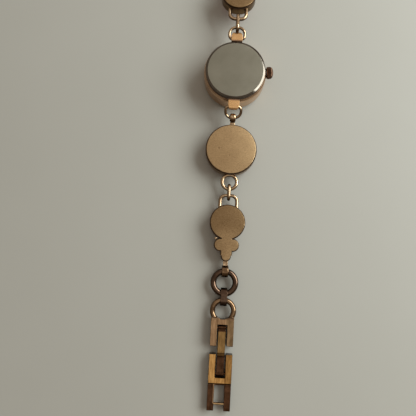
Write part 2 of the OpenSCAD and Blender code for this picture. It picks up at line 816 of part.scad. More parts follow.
module second_wheel() {
    color("#c9a24b") {
        translate([0, 0, level_3]) wheel(second_teeth, gear_module, wheel_t, 0.01);
        translate([0, 0, level_2]) wheel(leaf_teeth, third_module, wheel_t, 0.01);
        translate([0, 0, second_hand_z + hand_t])
            cylinder(r = second_arbor_r, h = bridge_top - second_hand_z - hand_t);
    }
}

module third_wheel() {
    color("#c9a24b") translate([third_at[0], third_at[1], 0]) {
        translate([0, 0, level_2]) wheel(third_teeth, third_module, wheel_t, 0.01);
        translate([0, 0, level_1]) wheel(leaf_teeth, gear_module, wheel_t, 0.01);
        translate([0, 0, plate_top - 0.2]) cylinder(r = arbor_r, h = bridge_top - plate_top + 0.2);
    }
}

module centre_wheel() {
    color("#c9a24b") translate([0, 0, level_1])
        wheel(centre_teeth, gear_module, wheel_t, minute_tube_r + 0.02);
}

module minute_pinion() {
    foot = minute_hand_z + hand_t;
    color("#b9bcc0") difference() {
        union() {
            translate([0, 0, foot]) cylinder(r = minute_tube_r, h = level_1 + wheel_t - foot);
            translate([0, 0, cannon_level]) wheel(cannon_teeth, motion_module, 0.2, 0.01);
        }
        translate([0, 0, foot - cut]) cylinder(r = second_arbor_r + tube_gap, h = 6);
    }
}

module minute_wheel() {
    color("#c9a24b") translate([motion_at[0], motion_at[1], 0]) difference() {
        union() {
            translate([0, 0, cannon_level]) wheel(minute_wheel_teeth, motion_module, wheel_t, 0.01);
            translate([0, 0, hour_level]) wheel(hour_pinion_teeth, hour_module, 0.35, 0.01);
        }
        translate([0, 0, plate_z - cut]) cylinder(r = arbor_r + 0.02, h = 2);
    }
}

module hour_wheel() {
    foot = hour_hand_z + hand_t;
    color("#c9a24b") difference() {
        union() {
            translate([0, 0, hour_level]) wheel(hour_wheel_teeth, hour_module, wheel_t, 0.01);
            translate([0, 0, foot]) cylinder(r = hour_tube_r, h = hour_level + wheel_t - foot);
        }
        translate([0, 0, foot - cut]) cylinder(r = minute_tube_r + tube_gap, h = 3);
    }
}

// A leaf-shaped hand pointing along +X, with a round hub and a short tail
module hand(l, w, hub_r, bore) {
    tail = 0.9;
    waist = 0.6 * l;
    difference() {
        linear_extrude(hand_t) union() {
            circle(hub_r);
            polygon([[-tail, 0], [0, -w / 2], [waist, -w / 2], [l, 0], [waist, w / 2], [0, w / 2]]);
        }
        translate([0, 0, -cut]) cylinder(r = bore, h = hand_t + 2 * cut);
    }
}

module hour_hand() {
    color("#a97a5a") translate([0, 0, hour_hand_z]) rotate([0, 0, hour_angle])
        hand(hour_hand_l, hour_hand_w, hour_tube_r + 0.2, minute_tube_r + tube_gap);
}

module minute_hand() {
    color("#a97a5a") translate([0, 0, minute_hand_z]) rotate([0, 0, minute_angle])
        hand(minute_hand_l, minute_hand_w, minute_tube_r + 0.25, second_arbor_r + tube_gap);
}

module second_hand() {
    color("#a97a5a") translate([0, 0, second_hand_z]) rotate([0, 0, second_angle])
        linear_extrude(hand_t) union() {
            circle(second_hub_r);
            translate([-second_tail, -second_hand_w / 2])
                square([second_hand_l + second_tail, second_hand_w]);
        }
}

module setting_lever() {
    arm_w = 0.6;
    peg_r = 0.2;
    color("#b9bcc0") at_crown() translate([lever_x, -lever_arm, 0]) difference() {
        union() {
            translate([0, 0, lever_z]) cylinder(r = 0.55, h = lever_t);
            translate([-arm_w / 2, 0, lever_z]) cube([arm_w, lever_arm, lever_t]);
            translate([0, lever_arm, lever_z]) cylinder(r = arm_w / 2, h = lever_t);
            translate([0, lever_arm, stem_level + 0.3]) cylinder(r = peg_r, h = lever_z - stem_level - 0.2);
        }
        translate([0, 0, lever_z - cut]) cylinder(r = lever_pivot_r + 0.03, h = lever_t + 2 * cut);
    }
}

module sliding_pinion() {
    color("#b9bcc0") at_crown() translate([pinion_x, 0, stem_level]) rotate([0, 90, 0])
        wheel(pinion_teeth, pinion_module, pinion_l, shank_r + 0.03);
}

module crown() {
    grip = 26;
    groove = 0.14;
    dome = 0.35;
    color("#7d4a38") at_crown() translate([crown_x, 0, stem_level]) rotate([0, 90, 0]) difference() {
        union() {
            linear_extrude(crown_l - dome) polygon(tooth_points(grip, crown_r, crown_r - groove));
            translate([0, 0, crown_l - dome])
                cylinder(r1 = crown_r - groove, r2 = crown_r - groove - dome, h = dome);
        }
        translate([0, 0, -cut]) cylinder(r = crown_recess_r, h = recess_l + cut);
        translate([0, 0, recess_l - 0.1]) cylinder(r = stem_r + 0.01, h = crown_hole + 0.1);
    }
}

module stem() {
    color("#a9abad") at_crown() translate([0, 0, stem_level]) {
        x_rod(shank_r, stem_end, lever_x + stem_groove + stem_collar);
        x_rod(stem_r, lever_x - stem_groove - stem_collar, lever_x - stem_groove);
        x_rod(stem_r, lever_x + stem_groove, crown_x + recess_l + crown_hole - run);
    }
}

module crown_gasket() {
    gasket_wire = 0.17;
    color("#1d1d1d") at_crown() translate([crown_x + 0.3, 0, stem_level]) rotate([0, 90, 0])
        wire_ring((tube_r + crown_recess_r) / 2, gasket_wire);
}

module d_ring_12() {
    color("#7a5a44") chain_12(hinge_0, -d_slope_12) d_ring();
}

module d_ring_6() {
    color("#7a5a44") chain_6(hinge_0b, d_rise_6) d_ring();
}

// The large link's casting, with its bead's bore at the origin and its back up
module disc_casting() {
    rim = disc_t - disc_stone_proud;
    neck_in = 0.2;
    neck_drop = 0.5;
    neck_over = 0.5;
    difference() {
        union() {
            translate([0, disc_centre, disc_top]) setting(disc_r, disc_back_t, rim, disc_wall);
            x_cylinder(bead_r, bead_w);
            translate([-bead_w / 2, neck_in, disc_top - disc_back_t - neck_drop])
                cube([bead_w, disc_centre - disc_r + neck_over - neck_in, disc_back_t]);
            translate([0, disc_loop_s, disc_top - disc_drop]) wire_ring(disc_loop_r, wire_r);
        }
        x_cylinder(bead_bore, bead_w + 2 * cut);
        translate([0, disc_centre, disc_top - rim - cut])
            cylinder(r = disc_r - disc_wall, h = rim - disc_back_t + cut);
    }
}

module disc_stone() {
    girdle = disc_t - disc_back_t - disc_stone_proud - seat;
    translate([0, disc_centre, disc_top - disc_back_t - seat])
        cabochon(disc_r - disc_wall - seat, girdle, disc_stone_proud);
}

module disc_link_12() {
    color("#a5835a") chain_12(hinge_1) disc_casting();
}

module disc_stone_12() {
    color("#c9808f") chain_12(hinge_1) disc_stone();
}

module jump_ring_12() {
    color("#7a5a44") chain_12(hinge_2, -jump_slope_12)
        oval_ring(jump_pitch_12, jump_in + jump_wire, jump_wire);
}

module jump_ring_6() {
    color("#7a5a44") chain_6(hinge_1b, -jump_slope_6)
        oval_ring(jump_pitch_6, jump_in + jump_wire, jump_wire);
}

// The small link's casting, with its D-loop's outer wire at the origin and its back up
module small_casting() {
    depth = small_t - small_stone_proud;
    web_w = 3.4;
    web_s = small_centre + small_r - small_wall;
    web_end = tip_s - 0.35;
    web_drop = 0.05;
    neck_w = 1.4;
    difference() {
        union() {
            translate([0, small_centre, small_top]) setting(small_r, small_back_t, depth, small_wall);
            for (p = lobes()) translate([p[0], p[1], small_top - lobe_back])
                cylinder_down(p[2], depth - lobe_back);
            translate([-web_w / 2, web_s, small_top - small_back_t])
                cube([web_w, web_end - web_s, small_back_t - lobe_back - web_drop]);
            mirror([0, 1, 0]) d_bow(small_loop_half, -small_centre + small_r - 1.4, 0, 1.6, wire_r);
            translate([-neck_w / 2, tip_s + tip_r - 0.4, band_top - 0.5])
                cube([neck_w, small_pitch - band_r - tip_s - tip_r + 0.7, 1]);
            translate([0, small_pitch, band_top]) x_cylinder(band_r, band_w);
        }
        translate([0, small_pitch, band_top]) x_cylinder(band_in, band_w + 2 * cut);
        translate([0, small_centre, small_top - depth - cut])
            cylinder(r = small_r - small_wall, h = depth - small_back_t + cut);
        for (p = lobes()) translate([p[0], p[1], small_top - depth - cut])
            cylinder(r = p[2] - small_wall, h = depth - small_back_t - lobe_back + cut);
    }
}

// A cylinder that hangs down from z = 0
module cylinder_down(r, h) {
    translate([0, 0, -h]) cylinder(r = r, h = h);
}

// The three small settings: across, along and radius
function lobes() = [[-lobe_x, lobe_s, lobe_r], [lobe_x, lobe_s, lobe_r], [0, tip_s, tip_r]];

module small_stones() {
    depth = small_t - small_back_t - small_stone_proud - seat;
    translate([0, small_centre, small_top - small_back_t - seat])
        cabochon(small_r - small_wall - seat, depth, small_stone_proud);
    for (p = lobes()) translate([p[0], p[1], small_top - small_back_t - lobe_back - seat])
        cabochon(p[2] - small_wall - seat, depth - lobe_back, lobe_dome * small_stone_proud);
}

module small_link_12() {
    color("#a5835a") chain_12(hinge_3) small_casting();
}

module small_stones_12() {
    color("#c9808f") chain_12(hinge_3) small_stones();
}

module small_link_6() {
    color("#a5835a") chain_6(hinge_2b, -small_slope_6) small_casting();
}

module small_stones_6() {
    color("#c9808f") chain_6(hinge_2b, -small_slope_6) small_stones();
}

module round_ring() {
    color("#8a6448") chain_12(hinge_4, -ring_slope) translate([0, ring_r, 0])
        wire_ring(ring_r, ring_wire);
}

module connector() {
    color("#8a6448") chain_12(hinge_5, -connector_slope) difference() {
        band_body(connector_pitch, band_r);
        band_body(connector_pitch, band_in, 2 * cut);
    }
}

// A solid oval along Y with its round ends on two pins along X
module band_body(pitch, r, extra = 0) {
    x_cylinder(r, band_w + extra);
    translate([0, pitch, 0]) x_cylinder(r, band_w + extra);
    translate([-(band_w + extra) / 2, 0, -r]) cube([band_w + extra, pitch, 2 * r]);
}

// The clasp's prongs: two bars with a slot between them
module prongs(s0, s1) {
    for (x = [-clasp_w / 2, slot_w / 2]) translate([x, s0, -clasp_t / 2])
        cube([(clasp_w - slot_w) / 2, s1 - s0, clasp_t]);
}

module clasp_head() {
    color("#8a6448") chain_12(hinge_6, -clasp_slope) difference() {
        union() {
            translate([0, head_r - head_wire, 0]) wire_ring((head_r + head_hole) / 2, head_wire);
            translate([-clasp_w / 2, crotch_s - neck_l, -clasp_t / 2]) cube([clasp_w, neck_l, clasp_t]);
            prongs(crotch_s - 0.1, prong_end);
        }
        translate([0, head_r - head_wire, -clasp_t]) cylinder(r = head_hole, h = 2 * clasp_t);
        translate([0, pin_s, 0]) x_cylinder(pin_r + 0.01, clasp_w + 2 * cut);
    }
}

module clasp_pin() {
    color("#b08a5a") chain_12(hinge_6, -clasp_slope) translate([0, pin_s, 0])
        x_cylinder(pin_r, clasp_w - 0.1);
}

module tongue() {
    low = 0.55;
    step = frame_tip - 0.3;
    color("#94663a") chain_12(hinge_6, -clasp_slope) difference() {
        union() {
            for (s = [pin_s, frame_pin_s]) translate([0, s, 0]) x_cylinder(eye_r, tongue_w);
            translate([-tongue_w / 2, pin_s, -low]) cube([tongue_w, tongue_pitch, 2 * low]);
            translate([-tongue_w / 2, pin_s + 0.65, 0])
                cube([tongue_w, step - pin_s - 0.65, clasp_t / 2 - 0.3]);
        }
        for (s = [pin_s, frame_pin_s]) translate([0, s, 0]) x_cylinder(pin_r + run, tongue_w + 2 * cut);
    }
}

module clasp_frame() {
    color("#8a6448") chain_12(hinge_6, -clasp_slope) difference() {
        union() {
            prongs(frame_tip, frame_end);
            translate([-clasp_w / 2, frame_crotch, -clasp_t / 2])
                cube([clasp_w, crossbar_end - frame_crotch, clasp_t]);
        }
        for (s = [frame_pin_s, catch_s]) translate([0, s, 0])
            x_cylinder(pin_r + 0.01, clasp_w + 2 * cut);
    }
}

module frame_pins() {
    color("#b08a5a") chain_12(hinge_6, -clasp_slope) for (s = [frame_pin_s, catch_s])
        translate([0, s, 0]) x_cylinder(pin_r, clasp_w - 0.1);
}

// The 6 o'clock large link lies the other way round: its round loop is next to the small link
module reversed_disc() {
    translate([0, disc_pitch, -(disc_top - disc_drop)]) rotate([0, 0, 180]) children();
}

module disc_link_6() {
    color("#a5835a") chain_6(hinge_3b) reversed_disc() disc_casting();
}

module disc_stone_6() {
    color("#c9808f") chain_6(hinge_3b) reversed_disc() disc_stone();
}

module end_ring_6() {
    color("#7a5a44") chain_6(hinge_4b, -end_slope_6) translate([0, disc_loop_r, 0])
        wire_ring(disc_loop_r, wire_r);
}

module hook_plate() {
    knuckle_w = (hook_w - catch_w) / 2 - free;
    color("#8a6448") chain_6(hinge_5b) difference() {
        union() {
            x_cylinder(hook_eye_r, bead_w);
            translate([-bead_w / 2, 0.6, hook_plate_z]) cube([bead_w, 1.6, hook_t]);
            translate([-hook_w / 2, 2, hook_plate_z]) cube([hook_w, hook_l - 2.9, hook_t]);
            for (x = [-hook_w / 2, hook_w / 2 - knuckle_w]) {
                translate([x, hook_l - 1, hook_plate_z]) cube([knuckle_w, 1, hook_t]);
                translate([0, hook_l, hook_pin_z]) x_rod(hook_pin_z - hook_plate_z, x, x + knuckle_w);
            }
        }
        x_cylinder(bead_bore, bead_w + 2 * cut);
        translate([0, hook_l, hook_pin_z]) x_cylinder(pin_r + 0.01, hook_w + 2 * cut);
        translate([-slot_w / 2, hook_l - 4.6, hook_plate_z - cut]) cube([slot_w, 2.9, hook_t + 2 * cut]);
    }
}

module hook_pin() {
    color("#b08a5a") chain_6(hinge_5b) translate([0, hook_l, hook_pin_z])
        x_cylinder(pin_r, hook_w - 0.1);
}

module hook_cover() {
    cover_z = hook_pin_z - hook_t - 0.15;
    hook_in = pin_r + 0.15;
    hook_s = 3.1;
    color("#8a6448") chain_6(hinge_5b) translate([0, hook_l, 0]) difference() {
        union() {
            translate([0, 0, hook_pin_z]) x_cylinder(hook_pin_z - cover_z, catch_w);
            translate([-catch_w / 2, 0.2, cover_z]) cube([catch_w, 2, hook_t]);
            translate([-hook_w / 2, 1.7, cover_z]) cube([hook_w, hook_l - 4.4, hook_t]);
            translate([0, hook_s, cover_z + hook_t + hook_in]) difference() {
                x_cylinder(hook_in + 0.5, catch_w);
                x_cylinder(hook_in, catch_w + 2 * cut);
                translate([-catch_w, -3, -hook_in]) cube([2 * catch_w, 2.9, 3]);
            }
        }
        translate([0, 0, hook_pin_z]) x_cylinder(pin_r + run, hook_w + 2 * cut);
    }
}

case_middle();
bezel();
crystal();
crystal_gasket();
rehaut();
dial();
hour_markers();
case_back();
case_gasket();
crown_tube();
movement_ring();
main_plate();
train_bridge();
battery();
battery_clip();
circuit_board();
quartz_can();
coil();
stator();
movement_screws();
rotor();
fifth_wheel();
second_wheel();
second_hand();
third_wheel();
centre_wheel();
minute_pinion();
minute_hand();
minute_wheel();
hour_wheel();
hour_hand();
setting_lever();
sliding_pinion();
crown();
stem();
crown_gasket();
d_ring_12();
disc_link_12();
disc_stone_12();
jump_ring_12();
small_link_12();
small_stones_12();
round_ring();
connector();
clasp_head();
clasp_pin();
tongue();
clasp_frame();
frame_pins();
d_ring_6();
jump_ring_6();
small_link_6();
small_stones_6();
disc_link_6();
disc_stone_6();
end_ring_6();
hook_plate();
hook_cover();
hook_pin();
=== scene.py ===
"""A quartz watch on a jewelled link bracelet, lying on its crystal with the case back up."""
import json
import math

import bpy
import numpy as np
from mathutils import Matrix, Vector, noise


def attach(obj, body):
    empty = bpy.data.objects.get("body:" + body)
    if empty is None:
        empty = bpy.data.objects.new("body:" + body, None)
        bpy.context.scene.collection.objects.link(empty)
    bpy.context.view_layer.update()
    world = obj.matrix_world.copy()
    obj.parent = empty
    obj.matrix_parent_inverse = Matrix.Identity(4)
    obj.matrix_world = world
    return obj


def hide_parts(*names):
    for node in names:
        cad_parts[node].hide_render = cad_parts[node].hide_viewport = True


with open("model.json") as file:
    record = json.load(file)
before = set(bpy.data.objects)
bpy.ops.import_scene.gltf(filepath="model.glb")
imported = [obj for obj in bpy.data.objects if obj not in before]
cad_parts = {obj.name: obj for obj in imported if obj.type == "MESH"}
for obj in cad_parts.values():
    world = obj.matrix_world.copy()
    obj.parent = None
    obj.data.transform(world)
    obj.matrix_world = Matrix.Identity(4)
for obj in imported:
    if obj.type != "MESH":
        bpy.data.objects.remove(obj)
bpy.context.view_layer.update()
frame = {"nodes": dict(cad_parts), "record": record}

MM = 0.001
NODES = frame["nodes"]
JOINTS = {joint["name"]: joint for joint in frame["record"]["behaviour"]["joints"]}

# Sizes in millimetres; heights are from the table
CASE_R, BORE_R, BACK_R = 9.15, 7.75, 8.65
BEZEL_TOP, BACK_Z, WATCH_H = 1.95, 6.35, 7.4
CRYSTAL_R, CRYSTAL_T, SIGHT_R = 7.4, 1.2, 7.0
GAP = 0.02
DIAL_Z, HAND_T = 2.8, 0.14
STEM_Z, CROWN_A = 4.15, math.radians(5.5)
WIRE_R, OVAL_WIRE_R, LOOP_R, PIN_R = 0.45, 0.5, 2.1, 0.32
# The links: height of the back, distance of the main setting's middle and of the second hinge from the first
LARGE_TOP, LARGE_Y, LARGE_PITCH = 4.5, 9.4, 20.95
SMALL_TOP, SMALL_Y = 4.0, 7.85
# The three small settings of a small link: x, y, radius
LOBES = ((-1.75, 14.35, 1.85), (1.75, 14.35, 1.85), (0, 17.6, 1.4))


def joint_at(name):
    """A joint's place in millimetres."""
    return [v / MM for v in JOINTS[name]["pos_m"]]


def run_and_rise(first, second):
    """How far along and how high one joint lies from another, in millimetres."""
    start, end = joint_at(first), joint_at(second)
    return abs(end[1] - start[1]), end[2] - start[2]


# ---------------------------------------------------------------- parts: (vertices, faces), in millimetres
def arc(centre, radius, start, end, steps=8):
    """Points on an arc, angles in degrees."""
    turns = np.radians(np.linspace(start, end, steps + 1))
    return [(centre[0] + radius * math.cos(a), centre[1] + radius * math.sin(a)) for a in turns]


def soften_corners(points, radii, closed=True, steps=5):
    """A polygon with its corners rounded; radii is one number or one for each point."""
    count = len(points)
    if not hasattr(radii, "__len__"):
        radii = [radii] * count
    out = []
    for i, (point, radius) in enumerate(zip(points, radii)):
        here = np.array(point, float)
        if radius <= 0 or (not closed and i in (0, count - 1)):
            out.append(tuple(here))
            continue
        to_last = np.array(points[i - 1], float) - here
        to_next = np.array(points[(i + 1) % count], float) - here
        len_last, len_next = np.linalg.norm(to_last), np.linalg.norm(to_next)
        to_last, to_next = to_last / len_last, to_next / len_next
        half = math.acos(max(-1, min(1, float(to_last @ to_next)))) / 2
        if half > math.radians(88):
            out.append(tuple(here))
            continue
        reach = min(radius / math.tan(half), 0.45 * len_last, 0.45 * len_next)
        a, b = here + to_last * reach, here + to_next * reach
        for t in np.linspace(0, 1, steps + 1):
            out.append(tuple((1 - t) ** 2 * a + 2 * t * (1 - t) * here + t * t * b))
    return out


def lathe(profile, closed=True, steps=128):
    """A profile of (radius, height) points turned about Z."""
    verts, rings = [], []
    for radius, height in profile:
        if radius < 1e-6:
            rings.append([len(verts)])
            verts.append((0, 0, height))
            continue
        rings.append(list(range(len(verts), len(verts) + steps)))
        for i in range(steps):
            a = 2 * math.pi * i / steps
            verts.append((radius * math.cos(a), radius * math.sin(a), height))
    faces = []
    pairs = list(zip(rings, rings[1:]))
    if closed:
        pairs.append((rings[-1], rings[0]))
    for low, high in pairs:
        for i in range(steps):
            j = (i + 1) % steps
            if len(low) == 1 and len(high) == 1:
                continue
            if len(low) == 1:
                faces.append((low[0], high[j], high[i]))
            elif len(high) == 1:
                faces.append((low[i], low[j], high[0]))
            else:
                faces.append((low[i], low[j], high[j], high[i]))
    return np.array(verts), faces


def skin(rows, closed=False, capped=True):
    """A surface over rows of equally many points; closed joins the last row to the first, capped fills both."""
    count, total = len(rows[0]), len(rows)
    faces = []
    for low in range(total if closed else total - 1):
        high = (low + 1) % total
        for i in range(count):
            j = (i + 1) % count
            faces.append((low * count + i, low * count + j, high * count + j, high * count + i))
    if capped and not closed:
        faces += [tuple(range(count))[::-1], tuple(range((total - 1) * count, total * count))]
    return np.array([point for row in rows for point in row]), faces


def tube(path, radius, closed=True, sides=20):
    """A round wire along a flat path of 3-D points; open ends are domed."""
    path = np.array(path, float)
    if closed:
        tangents = np.roll(path, -1, 0) - np.roll(path, 1, 0)
    else:
        tangents = np.gradient(path, axis=0)
    tangents /= np.linalg.norm(tangents, axis=1)[:, None]
    plane = np.linalg.svd(path - path.mean(0))[2][2]
    rows = [(point, np.cross(tangent, plane), 1.0) for point, tangent in zip(path, tangents)]
    if not closed:
        dome = [(0.35, 0.94), (0.7, 0.71), (0.92, 0.38)]
        first, last = rows[0], rows[-1]
        rows = ([(first[0] - tangents[0] * radius * d, first[1], s) for d, s in reversed(dome)] + rows
                + [(last[0] + tangents[-1] * radius * d, last[1], s) for d, s in dome])
    turns = [2 * math.pi * k / sides for k in range(sides)]
    return skin([[centre + radius * scale * (math.cos(a) * side + math.sin(a) * plane) for a in turns]
                 for centre, side, scale in rows], closed)


def slab(outline, low, high, edge, steps=4):
    """A plate with an outline in XY and rounded edges all round."""
    points = np.array(outline, float)
    last, following = np.roll(points, 1, 0), np.roll(points, -1, 0)
    along = following - last
    along /= np.linalg.norm(along, axis=1)[:, None]
    inward = np.stack([-along[:, 1], along[:, 0]], 1)
    if np.sum(points[:, 0] * following[:, 1] - following[:, 0] * points[:, 1]) < 0:
        inward = -inward
    turns = np.linspace(0, math.pi / 2, steps + 1)
    layers = [(edge * (1 - math.sin(t)), low + edge * (1 - math.cos(t))) for t in turns]
    layers += [(edge * (1 - math.cos(t)), high - edge * (1 - math.sin(t))) for t in turns]
    return skin([[(x, y, height) for x, y in points + inward * inset] for inset, height in layers])


def join(*parts):
    """Several parts as one."""
    verts, faces, start = [], [], 0
    for points, polys in parts:
        verts.append(points)
        faces += [tuple(i + start for i in poly) for poly in polys]
        start += len(points)
    return np.concatenate(verts), faces


def move(part, offset=(0, 0, 0), tilt=0.0, turn=0.0):
    """A part turned about X by tilt, then about Z by turn, then moved."""
    points = part[0]
    c, s = math.cos(tilt), math.sin(tilt)
    points = points @ np.array([[1, 0, 0], [0, c, s], [0, -s, c]])
    c, s = math.cos(turn), math.sin(turn)
    points = points @ np.array([[c, s, 0], [-s, c, 0], [0, 0, 1]])
    return points + np.array(offset), part[1]


def across(part, offset=(0, 0, 0)):
    """A turned part with its axis laid along X."""
    return part[0][:, [2, 0, 1]] + np.array(offset), part[1]


def zoned(*pairs):
    """Parts with a material number each, as one part and a number for each face."""
    return join(*[part for part, _ in pairs]), [number for part, number in pairs for _ in part[1]]


def zones_by(part, test):
    """A material number for each face from its centre."""
    return [int(test(part[0][list(face)].mean(0))) for face in part[1]]


def disc_outline(x, y, radius, rough, seed, steps=144):
    """A circle's outline, drawn in here and there by up to rough."""
    points = []
    for a in np.linspace(0, 2 * math.pi, steps, endpoint=False):
        dent = abs(noise.noise(Vector((math.cos(a) * 3, math.sin(a) * 3, seed)))) * rough
        points.append((x + (radius - dent) * math.cos(a), y + (radius - dent) * math.sin(a)))
    return points


def evenly(points, spacing):
    """A closed line's 3-D points, with more between them where they lie further apart than spacing."""
    points = [np.array(point, float) for point in points]
    full = []
    for a, b in zip(points, points[1:] + points[:1]):
        length = np.linalg.norm(b - a)
        if length > 1e-6:
            pieces = max(1, int(length / spacing))
            full += [a + (b - a) * k / pieces for k in range(pieces)]
    return full


def oval_path(pitch, radius):
    """The middle line of an oval ring in the YZ plane round two wires."""
    turns = np.linspace(0, math.pi, 24)
    return evenly([(0, pitch + radius * math.sin(a), radius * math.cos(a)) for a in turns]
                  + [(0, -radius * math.sin(a), -radius * math.cos(a)) for a in turns], 0.3)


def ring_path(radius, steps=72):
    """A circle in XY that touches the origin, its centre on +Y."""
    return [(radius * math.cos(a), radius + radius * math.sin(a), 0)
            for a in np.linspace(0, 2 * math.pi, steps, endpoint=False)]


def raw_mesh(name, part):
    """A mesh from a part as it is."""
    mesh = bpy.data.meshes.new(name)
    mesh.from_pydata([tuple(v) for v in part[0]], [], part[1])
    return mesh


def linked(name, data):
    """A new object in the scene."""
    obj = bpy.data.objects.new(name, data)
    bpy.context.scene.collection.objects.link(obj)
    return obj


def part_of(mesh):
    """A part from a mesh as it is."""
    points = np.empty(len(mesh.vertices) * 3)
    mesh.vertices.foreach_get("co", points)
    return points.reshape(-1, 3), [tuple(poly.vertices) for poly in mesh.polygons]


def cad_part(node):
    """A CAD node's mesh as a part."""
    points, faces = part_of(NODES[node].data)
    return points / MM, faces


def applied(part, *modifiers):
    """A part with Blender's modifiers applied; each is (type, {setting: value})."""
    mesh = raw_mesh("work", part)
    obj = linked("work", mesh)
    for kind, settings in modifiers:
        modifier = obj.modifiers.new(kind, kind)
        for key, value in settings.items():
            setattr(modifier, key, value)
    depsgraph = bpy.context.evaluated_depsgraph_get()
    result = bpy.data.meshes.new_from_object(obj.evaluated_get(depsgraph))
    made = part_of(result)
    bpy.data.objects.remove(obj)
    bpy.data.meshes.remove(mesh)
    bpy.data.meshes.remove(result)
    return made


def combined(part, other, operation):
    """Two closed parts as one, by a boolean operation."""
    mesh = raw_mesh("tool", other)
    tool = linked("tool", mesh)
    result = applied(part, ("BOOLEAN", {"operation": operation, "object": tool, "solver": "EXACT"}))
    bpy.data.objects.remove(tool)
    bpy.data.meshes.remove(mesh)
    return result


def clip_to_box(part, low, high):
    """What of a closed part lies in a box."""
    corners = [(x, y, z) for x in (low[0], high[0]) for y in (low[1], high[1]) for z in (low[2], high[2])]
    sides = [(0, 1, 3, 2), (4, 6, 7, 5), (0, 4, 5, 1), (2, 3, 7, 6), (0, 2, 6, 4), (1, 5, 7, 3)]
    return combined(applied(part, ("WELD", {"merge_threshold": 1e-4})), (corners, sides), "INTERSECT")


def fused(part, voxel, smooth):
    """Closed parts melted into one casting with soft edges."""
    return applied(part, ("REMESH", {"mode": "VOXEL", "voxel_size": voxel, "adaptivity": 0.0}),
                   ("SMOOTH", {"factor": 0.5, "iterations": smooth}))


def rippled(part, height, size, seed):
    """A casting with slow undulations of a height and size."""
    shift = Vector((seed * 7.3, seed * 3.1, seed * 5.7))
    mesh = raw_mesh("work", part)
    normals = np.empty(len(part[0]) * 3)
    mesh.vertex_normals.foreach_get("vector", normals)
    bpy.data.meshes.remove(mesh)
    points = part[0].copy()
    for i, (p, normal) in enumerate(zip(part[0], normals.reshape(-1, 3))):
        wave = noise.noise(Vector(p) / size + shift) + 0.5 * noise.noise(Vector(p) * 2.3 / size - shift)
        points[i] = p + normal * (height * (wave - 0.8))
    return points, part[1]


def pressed(part, start, drop, blend):
    """A clasp piece whose upper faces lie lower by drop past a distance from the clasp's ring."""
    points = part[0].copy()
    along = joint_at("clasp_head_swing")[1] - points[:, 1]
    low, high = points[:, 2].min(), points[:, 2].max()
    middle = (low + high) / 2
    lift = np.clip((points[:, 2] - middle) / (high - middle), 0, 1)
    points[:, 2] -= drop * np.clip((along - start) / blend, 0, 1) * lift
    return points, part[1]


# ---------------------------------------------------------------- materials
def feed(tree, socket, value):
    """Set a socket to a value, or link another node's output to it."""
    if isinstance(value, bpy.types.NodeSocket):
        tree.links.new(value, socket)
    else:
        socket.default_value = value


def add(tree, kind, output, inputs=None, **settings):
    """The output of a new node, whose inputs are values or other nodes' outputs."""
    node = tree.nodes.new(kind)
    for key, value in settings.items():
        setattr(node, key, value)
    for key, value in (inputs or {}).items():
        feed(tree, node.inputs[key], value)
    return node.outputs[output]


def blank(name):
    """A new material and its node tree."""
    mat = bpy.data.materials.new(name)
    mat.use_nodes = True
    return mat, mat.node_tree


def dress(mat, **sockets):
    """A material with values and outputs put on its shader's own sockets."""
    shader = mat.node_tree.nodes["Principled BSDF"]
    for key, value in sockets.items():
        feed(mat.node_tree, shader.inputs[key.replace("_", " ")], value)
    return mat


def coords(tree, scale=(1, 1, 1), turn=0.0):
    """Object coordinates in millimetres, stretched by scale."""
    return add(tree, "ShaderNodeMapping", "Vector", {
        "Vector": add(tree, "ShaderNodeTexCoord", "Object"), "Scale": [s / MM for s in scale],
        "Rotation": (0, 0, turn)})


def noise_at(tree, vector, scale, detail=4.0, rough=0.55):
    """A noise texture's value; scale is in waves per millimetre."""
    return add(tree, "ShaderNodeTexNoise", "Fac",
               {"Vector": vector, "Scale": scale, "Detail": detail, "Roughness": rough})


def ramp(tree, value, *stops):
    """A colour ramp; stops are (position, colour)."""
    node = tree.nodes.new("ShaderNodeValToRGB")
    elements = node.color_ramp.elements
    while len(elements) < len(stops):
        elements.new(0.5)
    for element, (position, colour) in zip(elements, stops):
        element.position = position
        element.color = (*colour, 1)
    tree.links.new(value, node.inputs["Fac"])
    return node.outputs["Color"]


def spread(tree, value, low, high, start=0.3, end=0.7):
    """A value from low to high as the input goes from start to end."""
    return add(tree, "ShaderNodeMapRange", "Result",
               {"Value": value, "From Min": start, "From Max": end, "To Min": low, "To Max": high})


def bump(tree, height, depth, **normal):
    """A bump whose full height is depth, in millimetres."""
    return add(tree, "ShaderNodeBump", "Normal",
               {"Strength": 1.0, "Distance": depth * MM, "Height": height, **normal})


def maths(tree, kind, *values):
    """One math operation on up to three values."""
    return add(tree, "ShaderNodeMath", 0, dict(enumerate(values)), operation=kind)


def chained(tree, kind, first, *others):
    """Several values put together by one math operation."""
    for other in others:
        first = maths(tree, kind, first, other)
    return first


def facing(tree, start, end):
    """0 where a surface stands upright in the piece's own frame, 1 where it lies flat."""
    normal = add(tree, "ShaderNodeTexCoord", "Normal")
    height = add(tree, "ShaderNodeSeparateXYZ", "Z", {"Vector": normal})
    return spread(tree, maths(tree, "ABSOLUTE", height), 0.0, 1.0, start, end)


def distance(tree, spot):
    """The distance in metres from a place given in millimetres."""
    here = add(tree, "ShaderNodeTexCoord", "Object")
    return add(tree, "ShaderNodeVectorMath", "Value", {0: here, 1: [v * MM for v in spot]}, operation="DISTANCE")


def metal(name, dark, light, rough, patch, grain, depth, stretch=(1, 1, 1)):
    """A metal whose colour shifts in patches and whose surface has a fine grain."""
    mat, tree = blank(name)
    patches = noise_at(tree, coords(tree), patch, 3.0)
    grains = noise_at(tree, coords(tree, stretch), grain, 6.0, 0.65)
    return dress(mat, Metallic=1.0, Base_Color=ramp(tree, patches, (0.32, dark), (0.68, light)),
                 Roughness=spread(tree, grains, *rough), Normal=bump(tree, grains, depth))


